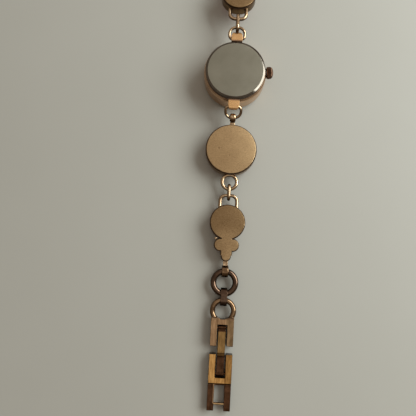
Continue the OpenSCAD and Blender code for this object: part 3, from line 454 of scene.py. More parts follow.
def side_shaded_metal(name, side, dark, light, rough, start=0.3, end=0.9, patch=0.6, flow=(1, 1, 1), coat=0.0):
    """A plated metal with painted shade on its upright sides and a painted sheen on its flat ones, its tone shifting
    in patches.
    """
    mat, tree = blank(name)
    patches = noise_at(tree, coords(tree, flow), patch, 5.0, 0.6)
    grains = noise_at(tree, coords(tree), 8.0, 6.0, 0.65)
    # Painted shade on the upright sides, painted sheen on the flat ones
    level = maths(tree, "MULTIPLY", facing(tree, start, end), spread(tree, patches, 0.45, 1.0, 0.32, 0.68))
    return dress(mat, Metallic=1.0, Coat_Weight=coat, Coat_Roughness=0.08,
                 Base_Color=ramp(tree, level, (0.05, side), (0.5, dark), (0.98, light)),
                 Roughness=spread(tree, grains, *rough), Normal=bump(tree, grains, 0.004))


def satin_back():
    """The case back's satin steel, finely grained, its colour shifting slowly."""
    mat, tree = blank("satin_back")
    place = coords(tree)
    lines = coords(tree, (0.35, 14, 1), math.radians(12))
    grains = maths(tree, "ADD", noise_at(tree, lines, 1.4, 5.0, 0.7), noise_at(tree, place, 7.0, 5.0, 0.7))
    colour = ramp(tree, noise_at(tree, place, 0.16, 3.0), (0.3, (0.265, 0.255, 0.198)), (0.7, (0.315, 0.303, 0.240)))
    return dress(mat, Metallic=1.0, Base_Color=colour, Roughness=spread(tree, grains, 0.28, 0.42, 0.7, 1.3),
                 Normal=bump(tree, grains, 0.010))


# Casting pits in the first large link's back: place and radius
PITS = (((-3.57, -22.65, 4.5), 0.42), ((-0.58, -24.56, 4.5), 0.34), ((-2.85, -22.55, 4.5), 0.26))


def cast_gold(name, low, middle, high, lighter=()):
    """Unpolished cast gold plate: matte, finely grained, with a few pits; painted shade darkens its upright walls and
    its pits, and painted pools of light brighten it round the places named.
    """
    mat, tree = blank(name)
    place = coords(tree)
    cloud = noise_at(tree, place, 0.22, 4.0)
    wave = noise_at(tree, coords(tree, (0.22, 1.6, 1)), 1.0, 5.0, 0.65)
    coarse = noise_at(tree, coords(tree, (0.8, 1.3, 1)), 2.0, 4.0, 0.75)
    sand = noise_at(tree, place, 5.0, 6.0, 0.7)
    # The pits are bumps, their colour darkened as painted shade
    pit = chained(tree, "MINIMUM", *[spread(tree, distance(tree, spot), 0.0, 1.0, 0.2 * size * MM, size * MM)
                                     for spot, size in PITS])
    # Painted shade on the upright walls; the cloud and coarse shares are random tone
    shares = [facing(tree, 0.2, 0.8), spread(tree, cloud, 0.78, 1.0, 0.3, 0.72),
              spread(tree, pit, 0.35, 1.0, 0.0, 1.0), spread(tree, coarse, 0.66, 1.0, 0.36, 0.60)]
    # Painted pools of light round the places named
    if lighter:
        near = chained(tree, "MINIMUM", *[distance(tree, spot) for spot in lighter])
        shares.append(spread(tree, near, 1.0, 0.68, 3.4 * MM, 7.4 * MM))
    level = chained(tree, "MULTIPLY", *shares)
    sandy = bump(tree, sand, 0.007, Normal=bump(tree, wave, 0.012))
    return dress(mat, Metallic=1.0, Base_Color=ramp(tree, level, (0.0, low), (0.42, middle), (0.95, high)),
                 Roughness=spread(tree, sand, 0.24, 0.38), Normal=bump(tree, pit, 0.05, Normal=sandy))


def pink_stone():
    """A domed pink stone, clouded and slightly translucent, with a polish."""
    mat, tree = blank("pink_cabochon")
    cloud = noise_at(tree, coords(tree), 0.35, 5.0, 0.6)
    veins = noise_at(tree, coords(tree, (1, 2.4, 1), 0.6), 0.5, 6.0, 0.7)
    colour = ramp(tree, maths(tree, "MULTIPLY_ADD", veins, 0.6, cloud),
                  (0.5, (0.62, 0.20, 0.27)), (0.78, (0.80, 0.38, 0.44)), (1.0, (0.90, 0.60, 0.62)))
    return dress(mat, Base_Color=colour, Roughness=0.08, IOR=1.54, Coat_Weight=0.4, Coat_Roughness=0.04,
                 Subsurface_Weight=0.35, Subsurface_Scale=0.002, Subsurface_Radius=(1.0, 0.45, 0.5))


def dial_paint():
    """A champagne dial with a fine sunray finish and a minute track."""
    mat, tree = blank("sunray_dial")
    place = add(tree, "ShaderNodeTexCoord", "Object")
    x, y = [add(tree, "ShaderNodeSeparateXYZ", axis, {"Vector": place}) for axis in "XY"]
    angle = maths(tree, "ARCTAN2", y, x)
    radius = maths(tree, "SQRT", maths(tree, "ADD", maths(tree, "MULTIPLY", x, x), maths(tree, "MULTIPLY", y, y)))
    rays = add(tree, "ShaderNodeTexNoise", "Fac", {"W": angle, "Scale": 26.0, "Detail": 5.0},
               noise_dimensions="1D")
    minute = maths(tree, "MULTIPLY", angle, 60 / (2 * math.pi))
    off_tick = maths(tree, "ABSOLUTE", maths(tree, "SUBTRACT", minute, maths(tree, "ROUND", minute)))
    track = chained(tree, "MULTIPLY", maths(tree, "LESS_THAN", off_tick, 0.075),
                    maths(tree, "GREATER_THAN", radius, 6.08 * MM), maths(tree, "LESS_THAN", radius, 6.30 * MM))
    base = ramp(tree, rays, (0.3, (0.70, 0.58, 0.50)), (0.7, (0.86, 0.77, 0.70)))
    colour = add(tree, "ShaderNodeMix", "Result", {"Factor": track, "A": base, "B": (0.10, 0.06, 0.05, 1)},
                 data_type="RGBA")
    return dress(mat, Metallic=0.35, Roughness=0.32, Base_Color=colour, Normal=bump(tree, rays, 0.004))


def coated(name, dark, light, rough, patch=1.5):
    """A plastic, rubber or board with a slight mottle and grain."""
    mat, tree = blank(name)
    place = coords(tree)
    grains = noise_at(tree, place, 8.0, 5.0)
    return dress(mat, Base_Color=ramp(tree, noise_at(tree, place, patch), (0.3, dark), (0.7, light)),
                 Roughness=spread(tree, grains, *rough), Normal=bump(tree, grains, 0.01))


def glass():
    """Mineral crystal, clear, with faint wipe marks."""
    mat, tree = blank("mineral_crystal")
    marks = noise_at(tree, coords(tree, (1, 6, 1), 0.4), 0.8, 5.0)
    return dress(mat, Transmission_Weight=1.0, IOR=1.5, Base_Color=(0.97, 0.985, 0.98, 1),
                 Roughness=spread(tree, marks, 0.0, 0.03))


ROSE_CASE = metal("rose_case", (0.58, 0.375, 0.225), (0.74, 0.49, 0.31), (0.16, 0.30), 0.35, 6.0, 0.004)
ROSE_SHADE = metal("rose_case_shoulder", (0.27, 0.165, 0.095), (0.40, 0.25, 0.15), (0.16, 0.30), 0.5, 6.0, 0.004)
# The tabs are a brighter copy of the case's rose, a painted highlight
ROSE_TAB = metal("rose_tab", (0.80, 0.48, 0.205), (0.92, 0.58, 0.275), (0.22, 0.36), 0.5, 7.0, 0.004)
ROSE_DARK = metal("rose_crown", (0.10, 0.055, 0.033), (0.17, 0.095, 0.06), (0.14, 0.30), 0.6, 8.0, 0.004)
# Painted shade in the settings' creases and on the small links' sunken web
CREASE_SHADE = metal("crease_painted_shade", (0.05, 0.032, 0.02), (0.10, 0.065, 0.042), (0.3, 0.5), 0.8, 9.0, 0.004)
# Painted shade: the case back's bevel and side wall are much darker steel than its satin back
STEEL_EDGE = metal("steel_bevel", (0.135, 0.118, 0.095), (0.19, 0.168, 0.137), (0.08, 0.15), 0.3, 8.0, 0.002)
STEEL_SIDE = metal("steel_side_painted_shade", (0.04, 0.03, 0.024), (0.08, 0.062, 0.05), (0.2, 0.34), 0.5, 8.0, 0.003)
POLISHED = metal("polished_hands", (0.78, 0.50, 0.36), (0.92, 0.64, 0.48), (0.08, 0.16), 0.5, 9.0, 0.002)
BRASS = metal("movement_brass_plate", (0.62, 0.46, 0.20), (0.74, 0.57, 0.28), (0.28, 0.42), 0.8, 10.0, 0.004)
STEEL = metal("movement_steel_plate", (0.50, 0.50, 0.50), (0.62, 0.62, 0.62), (0.24, 0.38), 0.8, 12.0, 0.004)
COPPER = metal("coil_copper", (0.58, 0.24, 0.11), (0.75, 0.36, 0.18), (0.30, 0.42), 2.0, 6.0, 0.02, (14, 1, 1))
BACK = satin_back()

# Wires and pins: sides (painted shade), patches, flats (painted sheen), roughness, then where the sides end and the
# flats begin
ROSE_WIRE = side_shaded_metal("rose_wire_polish", (0.05, 0.028, 0.016), (0.40, 0.265, 0.15), (0.74, 0.565, 0.36),
                 (0.12, 0.24), 0.25)
BROWN_WIRE = side_shaded_metal("brown_wire_polish", (0.03, 0.018, 0.012), (0.07, 0.042, 0.027), (0.155, 0.095, 0.06),
                  (0.08, 0.2), 0.1, 0.85, coat=0.12)
HEAD_RING = side_shaded_metal("head_ring_polish", (0.035, 0.02, 0.012), (0.15, 0.088, 0.047), (0.36, 0.235, 0.13),
                 (0.10, 0.24), 0.1, 0.85)
PIN = side_shaded_metal("pin_gold_polish", (0.05, 0.025, 0.012), (0.50, 0.31, 0.14), (0.80, 0.58, 0.30), (0.14, 0.28), 0.45, 0.95)
# The clasp's golds, their patches drawn out along the rails
CLASP = side_shaded_metal("clasp_gold", (0.08, 0.04, 0.016), (0.38, 0.195, 0.058), (0.72, 0.42, 0.145),
             (0.18, 0.32), patch=0.9, flow=(2.0, 0.4, 1))
CLASP_DEEP = side_shaded_metal("clasp_deep_gold", (0.06, 0.03, 0.012), (0.24, 0.12, 0.035), (0.50, 0.275, 0.085),
                  (0.18, 0.32), patch=0.9, flow=(2.0, 0.4, 1))
CLASP_TAN = side_shaded_metal("clasp_tan", (0.07, 0.04, 0.022), (0.23, 0.135, 0.068), (0.48, 0.305, 0.165),
                 (0.18, 0.34), patch=0.9, flow=(2.2, 0.4, 1))
TAN_DEEP = side_shaded_metal("clasp_deep_tan", (0.05, 0.028, 0.015), (0.15, 0.095, 0.045), (0.38, 0.25, 0.13),
                (0.18, 0.34), patch=0.9, flow=(2.2, 0.4, 1))
CLASP_OLIVE = side_shaded_metal("clasp_olive", (0.05, 0.03, 0.012), (0.20, 0.115, 0.04), (0.37, 0.225, 0.085),
                   (0.20, 0.34), patch=0.9, flow=(2, 0.5, 1))
CLASP_BROWN = side_shaded_metal("clasp_brown", (0.02, 0.01, 0.006), (0.055, 0.026, 0.012), (0.125, 0.06, 0.03),
                   (0.20, 0.36), patch=0.8)

CAST = cast_gold("cast_gold_matte", (0.27, 0.17, 0.092), (0.41, 0.275, 0.142), (0.62, 0.44, 0.235))
# Painted pools of light round the small links' main settings
CAST_SMALL = cast_gold("cast_gold_small", (0.16, 0.10, 0.048), (0.27, 0.175, 0.083), (0.52, 0.36, 0.19),
                       ((0, -51.6, 4.0), (0, 31.4, 4.2)))
STONE = pink_stone()
DIAL = dial_paint()
GLASS = glass()
RUBBER = coated("black_rubber", (0.012, 0.012, 0.012), (0.03, 0.03, 0.03), (0.5, 0.7))
PLASTIC = coated("white_nylon", (0.74, 0.72, 0.68), (0.84, 0.82, 0.78), (0.35, 0.5))
BOARD = coated("green_board", (0.02, 0.10, 0.035), (0.04, 0.17, 0.06), (0.3, 0.5), 2.5)


# ---------------------------------------------------------------- pieces
def piece(name, part, body, node, slot, *looks, smooth=40, zones=None):
    """A finished piece in metres, its normals outward: rides a body, stands for a node, has its materials."""
    mesh = raw_mesh(name, part)
    if zones:
        mesh.polygons.foreach_set("material_index", zones)
    mesh.validate()
    obj = linked(name, mesh)
    bpy.context.view_layer.objects.active = obj
    for other in bpy.context.selected_objects:
        other.select_set(False)
    obj.select_set(True)
    bpy.ops.object.mode_set(mode="EDIT")
    bpy.ops.mesh.select_all(action="SELECT")
    bpy.ops.mesh.normals_make_consistent(inside=False)
    bpy.ops.object.mode_set(mode="OBJECT")
    bpy.ops.object.shade_smooth_by_angle(angle=math.radians(smooth))
    mesh.transform(Matrix.Scale(MM, 4))
    for look in looks:
        mesh.materials.append(look)
    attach(obj, body)
    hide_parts(node)


def link_piece(name, part, body, node, slot, *looks, slope=0.0, **options):
    """A bracelet piece given in its link's own frame, where +Y leads away from the watch."""
    _, y, z = joint_at(body + "_swing")
    placed = move(part, (0, abs(y), z), math.radians(slope))
    if not body.endswith("_6"):
        placed = move(placed, turn=math.pi)
    piece(name, placed, body, node, slot, *looks, **options)


def build_case():
    """Case middle with its lug tabs, bezel, case back, crystal and the ring round the dial."""
    edge_r, seam, shoulder_r, rim_foot = 0.07, 0.5, 2.5, (8.755, 6.2)
    wall = [(BORE_R, BEZEL_TOP)] + soften_corners(
        [(CASE_R - 0.3, BEZEL_TOP), (CASE_R, BEZEL_TOP), (CASE_R, BEZEL_TOP + seam)], edge_r, False)
    wall += arc((CASE_R - shoulder_r, BACK_Z - 1.6), shoulder_r, 0, 33, 12)
    wall += soften_corners([rim_foot, (BACK_R + 0.12, BACK_Z), (BACK_R - 0.3, BACK_Z)], 0.05, False)
    wall += [(BORE_R, BACK_Z)]
    shells = [lathe(wall)]

    source = cad_part("case_middle")
    tab_root, tab_end, tab_half, tab_low, tab_high = 8.74, 13, 2.5, 3.5, 7.2
    draw, draw_y, draw_z = 0.34, 10.7, 5.9
    for side in (-1, 1):
        near, far = sorted((side * tab_root, side * tab_end))
        points, faces = fused(clip_to_box(source, (-tab_half, near, tab_low), (tab_half, far, tab_high)), 0.06, 5)
        # The upper end of each tab is drawn out a little
        share = np.clip((np.abs(points[:, 1]) - draw_y) / 0.7, 0, 1) * np.clip((points[:, 2] - draw_z) / 0.9, 0, 1)
        points[:, 1] += side * draw * share
        shells.append((points, faces))
    case = join(*shells)
    shade_z = 5.6
    piece("case_body", case, "head", "case_middle", "rose_plated_case", ROSE_CASE, ROSE_TAB, ROSE_SHADE,
          zones=zones_by(case, lambda p: 1 if abs(p[1]) > CASE_R + GAP else 2 if p[2] > shade_z else 0))

    pocket, foot, round_r, sleeve_z = CRYSTAL_R + 0.34, 0.25, 0.9, 2.45
    bezel = ([(pocket, foot + 0.05), (pocket + 0.05, foot)]
             + arc((CASE_R - round_r, foot + round_r), round_r, -90, 0, 14)
             + soften_corners([(CASE_R, BEZEL_TOP - seam), (CASE_R, BEZEL_TOP), (CASE_R - 0.3, BEZEL_TOP)],
                              edge_r, False)
             + [(BORE_R - GAP, BEZEL_TOP), (BORE_R - GAP, sleeve_z), (SIGHT_R, sleeve_z),
                (SIGHT_R, CRYSTAL_T + GAP), (pocket, CRYSTAL_T + GAP)])
    piece("bezel_ring", lathe(bezel), "head", "bezel", "rose_plated_case", ROSE_CASE)

    plug_t, plug_r, bevel = 0.4, 7.73, 0.62
    back = lathe(
        [(0, BACK_Z - plug_t), (plug_r, BACK_Z - plug_t), (plug_r, BACK_Z), (BACK_R - 0.04, BACK_Z)]
        + soften_corners([(BACK_R, BACK_Z + 0.05), (BACK_R, WATCH_H - 0.33), (BACK_R - bevel, WATCH_H),
                          (BACK_R - 2, WATCH_H)], [0, 0.12, 0.12, 0], False, 8)
        # The middle is a hair lower than the rim
        + [(r, WATCH_H - 0.0012 * (6.4 - r)) for r in (5, 3, 1.4, 0.5)] + [(0, WATCH_H - 0.008)], closed=False)

    def back_zone(p):
        """1 on the bevel, 2 on the side wall, both darker steel as painted shade, 0 on the rest."""
        radius = math.hypot(p[0], p[1])
        if radius <= BACK_R - bevel - GAP or p[2] <= BACK_Z:
            return 0
        return 2 if radius > BACK_R - 0.06 else 1

    piece("back_plate", back, "head", "case_back", "steel_back", BACK, STEEL_EDGE, STEEL_SIDE, smooth=30,
          zones=zones_by(back, back_zone))

    rim = soften_corners([(CRYSTAL_R - 1, 0), (CRYSTAL_R, 0), (CRYSTAL_R, CRYSTAL_T), (CRYSTAL_R - 1, CRYSTAL_T)],
                         [0, 0.16, 0.04, 0], False, 4)
    crystal = lathe([(0, 0)] + rim + [(0, CRYSTAL_T)], closed=False)
    piece("crystal_disc", crystal, "head", "crystal", "crystal_glass", GLASS)
    out = SIGHT_R - GAP
    rehaut = soften_corners([(out, CRYSTAL_T + GAP), (out - 0.15, CRYSTAL_T + GAP), (out - 0.65, DIAL_Z),
                             (out, DIAL_Z)], [0, 0.05, 0.03, 0])
    piece("dial_ring", lathe(rehaut), "head", "rehaut", "rose_plated_case", POLISHED)


def build_crown():
    """The fluted crown with its rounded rim and slightly domed end."""
    start, length, radius, recess, floor_x = CASE_R + 0.15, 2.0, 1.72, 1.2, 1.3
    teeth, groove = 26, 0.15
    steps = teeth * 12
    turns = [2 * math.pi * i / steps for i in range(steps)]

    def circle(along, r, depth=0.0):
        """Points round the crown's axis, drawn in by the flutes' depth."""
        reaches = [r - groove * depth * (0.5 + 0.5 * math.cos(teeth * a)) ** 1.6 for a in turns]
        return [(along, reach * math.cos(a), reach * math.sin(a)) for reach, a in zip(reaches, turns)]

    # Distance from the crown's inner end, how much less than the radius, depth of the flutes
    rim = [(0.0, 0.30, 0), (0.08, 0.16, 0.2), (0.2, 0.05, 0.7), (0.42, 0, 1.0), (0.95, 0, 1.0), (1.2, 0.03, 0.9),
           (1.4, 0.10, 0.7), (1.56, 0.20, 0.4), (1.7, 0.35, 0.1), (1.82, 0.56, 0), (1.91, 0.82, 0), (1.97, 1.1, 0)]
    rows = [circle(0.0, recess)] + [circle(x, radius - less, depth) for x, less, depth in rim] + [circle(length, 0.3)]
    points, faces = skin(rows, capped=False)
    tip, last = len(points), len(points) - steps
    floor = tip + 1
    points = np.concatenate([points, [(length, 0, 0)], circle(floor_x, recess), [(floor_x, 0, 0)]])
    faces += [(last + i, last + (i + 1) % steps, tip) for i in range(steps)]
    for i in range(steps):
        j = (i + 1) % steps
        faces += [(j, i, floor + i, floor + j), (floor + j, floor + i, floor + steps)]
    part = (points + np.array((start, 0, STEM_Z)), faces)
    piece("crown_knob", move(part, turn=CROWN_A), "crown_turn", "crown", "rose_plated_case", ROSE_DARK)


def build_rings():
    """The wire rings: D-rings, oval jump rings, the round ring and the end ring."""
    half, back, out, length = 2.25, 1.2, 1.9, 3.45
    outline = ([(-half + back, 0)] + arc((half - back, back), back, -90, 0)
               + arc((half - out, length - out), out, 0, 90, 10) + arc((out - half, length - out), out, 90, 180, 10)
               + arc((back - half, back), back, 180, 270)[:-1])
    # The D-rings' wire is a little thinner than the solids', so that it swings clear of the tabs' slots
    d_ring = tube(evenly([(x, y, 0) for x, y in outline], 0.25), WIRE_R - 0.04)
    _, rise = run_and_rise("end_ring_6_swing", "hook_plate_swing")
    end_slope = math.degrees(math.asin(rise / (2 * LOOP_R)))
    for name, part, body, slope, look in (
            ("d_ring_front", d_ring, "d_ring_12", -38, ROSE_WIRE),
            ("d_ring_rear", d_ring, "d_ring_6", 8, ROSE_WIRE),
            ("oval_front", tube(oval_path(1.8, 1.1), OVAL_WIRE_R), "jump_ring_12", -6, ROSE_WIRE),
            ("oval_rear", tube(oval_path(3.0, 1.1), OVAL_WIRE_R), "jump_ring_6", -10, ROSE_WIRE),
            ("round_link_ring", tube(ring_path(3.15, 96), 0.85, sides=28), "round_ring", -0.2, BROWN_WIRE),
            ("end_round_ring", tube(ring_path(LOOP_R), WIRE_R), "end_ring_6", end_slope, ROSE_WIRE)):
        link_piece(name, part, body, body, "rose_wire", look, slope=slope)


def cabochon(radius, girdle, dome, base):
    """A domed stone at base (x, y, z), its dome towards -Z."""
    profile = [(0, 0), (radius - 0.08, 0), (radius, -0.08), (radius, -girdle)]
    profile += [(radius * math.cos(a), -girdle - dome * math.sin(a)) for a in np.linspace(0.06, math.pi / 2, 14)[:-1]]
    profile += [(0, -girdle - dome)]
    return move(lathe(profile, closed=False, steps=72), base)


def cup(x, y, radius, top, depth, wall, back):
    """A round setting, closed on +Z and open on -Z, with soft edges; its crease and its wall as two parts."""
    foot, inner, ledge = top - depth, radius - wall, radius - GAP
    edge = soften_corners([(radius - 0.6, top), (ledge, top), (ledge, top - 0.2)], [0, 0.12, 0], False)
    side = soften_corners([(ledge, top - 0.2), (radius, top - 0.3), (radius, foot), (inner, foot),
                           (inner, top - back), (inner - 0.5, top - back)], [0, 0, 0.10, 0.10, 0.05, 0], False)
    profiles = [(0, top)] + edge + [(0, top - 0.2)], [(0, top - 0.19)] + side + [(0, top - back)]
    return [move(lathe(profile, closed=False, steps=120), (x, y, 0)) for profile in profiles]


def lobe_outline(inset):
    """The outline of the three small settings and the web between them, drawn in by inset."""
    centre = np.array([0, 14.9])
    half, low, high = 1.7 - inset, 12.2, 17.35
    points = []
    for a in np.linspace(0, 2 * math.pi, 180, endpoint=False):
        way = np.array([math.cos(a), math.sin(a)])
        end = (high if way[1] > 0 else low) - centre[1]
        far = min(half / max(abs(way[0]), 1e-9), end / (way[1] or 1e-9))
        for x, y, r in LOBES:
            gap = np.array([x, y]) - centre
            middle = gap @ way
            root = (r - inset) ** 2 - (gap @ gap - middle * middle)
            if root > 0:
                far = max(far, middle + math.sqrt(root))
        points.append(tuple(centre + way * far))
    return points


def build_large_links():
    """The two large links; the 6 o'clock one lies end for end."""
    top = LARGE_TOP - joint_at("disc_12_swing")[2]
    eye = top - 1.7  # the loop's middle
    bulge = [(0.95 + 0.30 * math.sqrt(1 - t * t), 0.85 * t) for t in np.linspace(-0.98, 0.98, 15)]
    bead = across(lathe([(0.74, -0.84), (0.90, -0.85)] + bulge
                        + [(0.90, 0.85), (0.74, 0.84), (0.68, 0.7), (0.68, -0.7)], steps=64))
    neck = slab([(-0.62, 1.0), (0.62, 1.0), (0.85, 2.4), (-0.85, 2.4)], eye, top - 0.55, 0.16)
    loop = tube([(x, y + LARGE_PITCH - 2 * LOOP_R, eye) for x, y, _ in ring_path(LOOP_R)], OVAL_WIRE_R)
    crease, wall = cup(0, LARGE_Y, 7.45, top - 0.52, 2.58, 0.8, 0.68)
    stone = cabochon(6.63, 1.88, 1.4, (0, LARGE_Y, top - 1.22))

    def sided(part, side):
        """A part of the link as it lies on one half of the bracelet."""
        return part if side == 12 else move(part, (0, LARGE_PITCH, -eye), turn=math.pi)

    for side, seed in ((12, 3), (6, 8)):
        plate = slab(disc_outline(0, LARGE_Y, 7.12, 0.12, seed), top - 0.9, top, 0.09)
        link, zones = zoned((wall, 0), (plate, 0), (neck, 1), (bead, 1), (loop, 1), (crease, 2))
        link_piece(f"large_link_{side}", sided(link, side), f"disc_{side}", f"disc_link_{side}", "cast_rose_gold",
                   CAST, ROSE_WIRE, CREASE_SHADE, smooth=50, zones=zones)
    for side in (12, 6):
        link_piece(f"large_stone_{side}", sided(stone, side), f"disc_{side}", f"disc_stone_{side}", "pink_stone",
                   STONE)


def build_small_links():
    """The two small links, each with one middling and three small settings."""
    top = SMALL_TOP - joint_at("small_12_swing")[2]
    pitch, eye = run_and_rise("small_12_swing", "round_ring_swing")
    run, rise = run_and_rise("small_6_swing", "disc_6_swing")
    slope_6 = math.degrees(math.atan2(rise, run) - math.atan2(eye, pitch))
    stones = join(cabochon(4.48, 1.88, 1.1, (0, SMALL_Y, top - 1.02)),
                  *[cabochon(r - 0.62, 1.78, 0.66, (x, y, top - 1.12)) for x, y, r in LOBES])
    layer = top - 0.8, top - 0.01, 0.07
    plate = combined(slab(disc_outline(0, SMALL_Y, 4.82, 0.10, 5), *layer), slab(lobe_outline(0.25), *layer), "UNION")
    cups = [cup(0, SMALL_Y, 5.1, top - 0.46, 2.44, 0.6, 0.54)]
    cups += [cup(x, y, r, top - 0.50, 2.40, 0.6, 0.60) for x, y, r in LOBES]
    web = slab([(-1.7, 12.35), (1.7, 12.35), (1.7, 17.25), (-1.7, 17.25)], top - 1.0, top - 0.52, 0.1)
    bend, side_x = 1.6, 2.42
    bow = ([(-side_x, 4.1), (-side_x, 2.8)] + arc((bend - side_x, 1.65), bend, 180, 270, 10)
           + arc((side_x - bend, 1.65), bend, 270, 360, 10) + [(side_x, 2.8), (side_x, 4.1)])
    bow = tube([(x, y, 0) for x, y in bow], OVAL_WIRE_R, closed=False)
    neck = slab([(-0.7, 18.6), (0.7, 18.6), (0.7, 20.5), (-0.7, 20.5)], eye - 0.5, eye + 0.5, 0.14)
    rim = soften_corners([(1.08, -0.95), (1.73, -0.95), (1.73, 0.95), (1.08, 0.95)], [0.12, 0.34, 0.34, 0.12])
    sleeve = across(lathe(rim, steps=72), (0, pitch, eye))
    stud = lathe(soften_corners([(0, -1.2), (0.36, -1.2), (0.36, 0), (0, 0)], [0, 0.05, 0.16, 0], False),
                 closed=False, steps=32)
    nubs = [move(stud, place) for place in ((3.14, 12.55, top - 0.5), (-4.62, 8.35, top - 0.3))]
    link, zones = zoned(*[(wall, 0) for _, wall in cups], *[(crease, 2) for crease, _ in cups], (plate, 0), (web, 2),
                        (neck, 1), (bow, 1), (sleeve, 3), *[(nub, 1) for nub in nubs])
    for side, slope in ((12, 0.0), (6, slope_6)):
        link_piece(f"trefoil_link_{side}", link, f"small_{side}", f"small_link_{side}", "cast_rose_gold",
                   CAST_SMALL, ROSE_WIRE, CREASE_SHADE, HEAD_RING, slope=slope, smooth=50, zones=zones)
        link_piece(f"trefoil_stones_{side}", stones, f"small_{side}", f"small_stones_{side}", "pink_stone", STONE,
                   slope=slope)


def build_clasp():
    """Connector band, ladder clasp and fold-over hook."""
    y0 = joint_at("clasp_head_swing")[1]
    # Distances from the clasp's ring, then half widths
    ring_end, tongue_root, tongue_tip, crossbar, lip_end = 4.9, 8.7, 15.3, 22.75, 28.1
    prong, rail, lip, lip_out = 1.1, 1.3, 1.2, 1.72

    def head_zone(p):
        """1 on the ring, 2 on the crown side's prong, 0 on the rest."""
        return 1 if y0 - p[1] < ring_end + 0.25 * abs(p[0]) else 2 if p[0] > prong else 0

    def tongue_zone(p):
        """1 on both ends, which lie in the shade, 0 between."""
        return y0 - p[1] > tongue_tip or y0 - p[1] < tongue_root

    def frame_zone(p):
        """1 on the rails past the crossbar, painted dark as shade, 2 on the lip along the window's edge, a painted
        highlight, 3 on the crown's side.
        """
        along = y0 - p[1]
        if along < crossbar:
            return 3 if p[0] > rail else 0
        return 2 if -lip_out < p[0] < -lip and along < lip_end else 1

    for name, node, voxel, press, zone, slot, *looks in (
            ("band_connector", "connector", 0.06, None, None, "rose_wire", BROWN_WIRE),
            ("ladder_head", "clasp_head", 0.07, None, head_zone, "clasp_rose", CLASP_TAN, HEAD_RING, TAN_DEEP),
            ("ladder_tongue", "tongue", 0.06, (14.6, 0.55, 1.2), tongue_zone, "clasp_rose", CLASP_OLIVE, CLASP_BROWN),
            ("ladder_frame", "clasp_frame", 0.07, (22.6, 0.45, 0.3), frame_zone, "clasp_rose", CLASP, CLASP_BROWN,
             CLASP_TAN, CLASP_DEEP),
            ("hook_base", "hook_plate", 0.08, None, None, "clasp_rose", CLASP),
            ("hook_lid", "hook_cover", 0.08, None, None, "clasp_rose", CLASP)):
        part = rippled(fused(cad_part(node), voxel, 4), 0.010, 1.5, len(node))
        if press:
            part = pressed(part, *press)
        piece(name, part, node, node, slot, *looks, smooth=60, zones=zones_by(part, zone) if zone else None)


def pins_for(node):
    """Pins along X with rounded ends, in the places of a node's own."""
    points, _ = cad_part(node)
    apart = 3
    firsts = []
    for y in sorted({round(float(y), 2) for y in points[:, 1]}):
        if not firsts or y - firsts[-1] > apart:
            firsts.append(y)
    ends = [(0.12, 0.55), (0.09, 0.8), (0.04, 0.95)]
    turns = [2 * math.pi * k / 24 for k in range(24)]
    pins = []
    for first in firsts:
        near = points[np.abs(points[:, 1] - first) < apart]
        low, high = near.min(0), near.max(0)
        y, z = (low[1] + high[1]) / 2, (low[2] + high[2]) / 2
        xs = np.linspace(low[0] + 0.12, high[0] - 0.12, 12)
        rows = [(xs[0] - d, s) for d, s in ends] + [(x, 1.0) for x in xs]
        rows += [(xs[-1] + d, s) for d, s in reversed(ends)]
        pins.append(skin([[(x, y + PIN_R * s * math.cos(a), z + PIN_R * s * math.sin(a)) for a in turns]
                          for x, s in rows]))
    return join(*pins)


def build_pins():
    """The clasp's and the hook's pins."""
    # The pin at the head's crotch, between the prongs, is painted dark brown as shade
    piece("head_pin", pins_for("clasp_pin"), "clasp_head", "clasp_pin", "pin_gold", CLASP_BROWN)
    pins = pins_for("frame_pins")
    # The frame's pin at the crotch is painted dark brown as shade, the others plain gold
    crotch = joint_at("clasp_frame_fold")[1]
    piece("ladder_pins", pins, "clasp_frame", "frame_pins", "pin_gold", PIN, CLASP_BROWN,
          zones=zones_by(pins, lambda p: abs(p[1] - crotch) < 3))
    piece("hook_hinge_pin", pins_for("hook_pin"), "hook_plate", "hook_pin", "pin_gold", PIN)


def bevelled(outline, low, high, edge):
    """A convex plate from low to high whose lower edges, which face the crystal, are bevelled."""
    points = np.array(outline, float)
    out = points - points.mean(0)
    inner = points - np.sign(out) * np.minimum(edge, np.abs(out) * 0.8)
    return skin([[(x, y, z) for x, y in ring] for ring, z in ((inner, low), (points, low + edge), (points, high))])


def faceted_hand(length, width, level):
    """A leaf hand along +X with a ridge down its middle, seen from the crystal's side."""
    tail, waist, edge_z, tip_z = 0.9, 0.6 * length, level + 0.09, level + 0.06
    edge = [(-tail, 0.02), (0, width / 2), (waist, width / 2), (length, 0.02)]
    verts = [(x, y, edge_z) for x, y in edge] + [(x, -y, edge_z) for x, y in edge]
    verts += [(-tail, 0, tip_z), (0, 0, level), (waist, 0, level), (length, 0, tip_z)]
    verts += [(x, y, level + HAND_T) for x, y in edge] + [(x, -y, level + HAND_T) for x, y in edge]
    faces = []
    for i in range(3):
        faces += [(i, i + 1, 8 + i + 1, 8 + i), (8 + i, 8 + i + 1, 4 + i + 1, 4 + i),
                  (12 + i, 12 + i + 1, i + 1, i), (4 + i, 4 + i + 1, 16 + i + 1, 16 + i),
                  (16 + i, 16 + i + 1, 12 + i + 1, 12 + i)]
    faces += [(0, 8, 4, 16, 12), (3, 15, 19, 7, 11)]
    return np.array(verts), faces


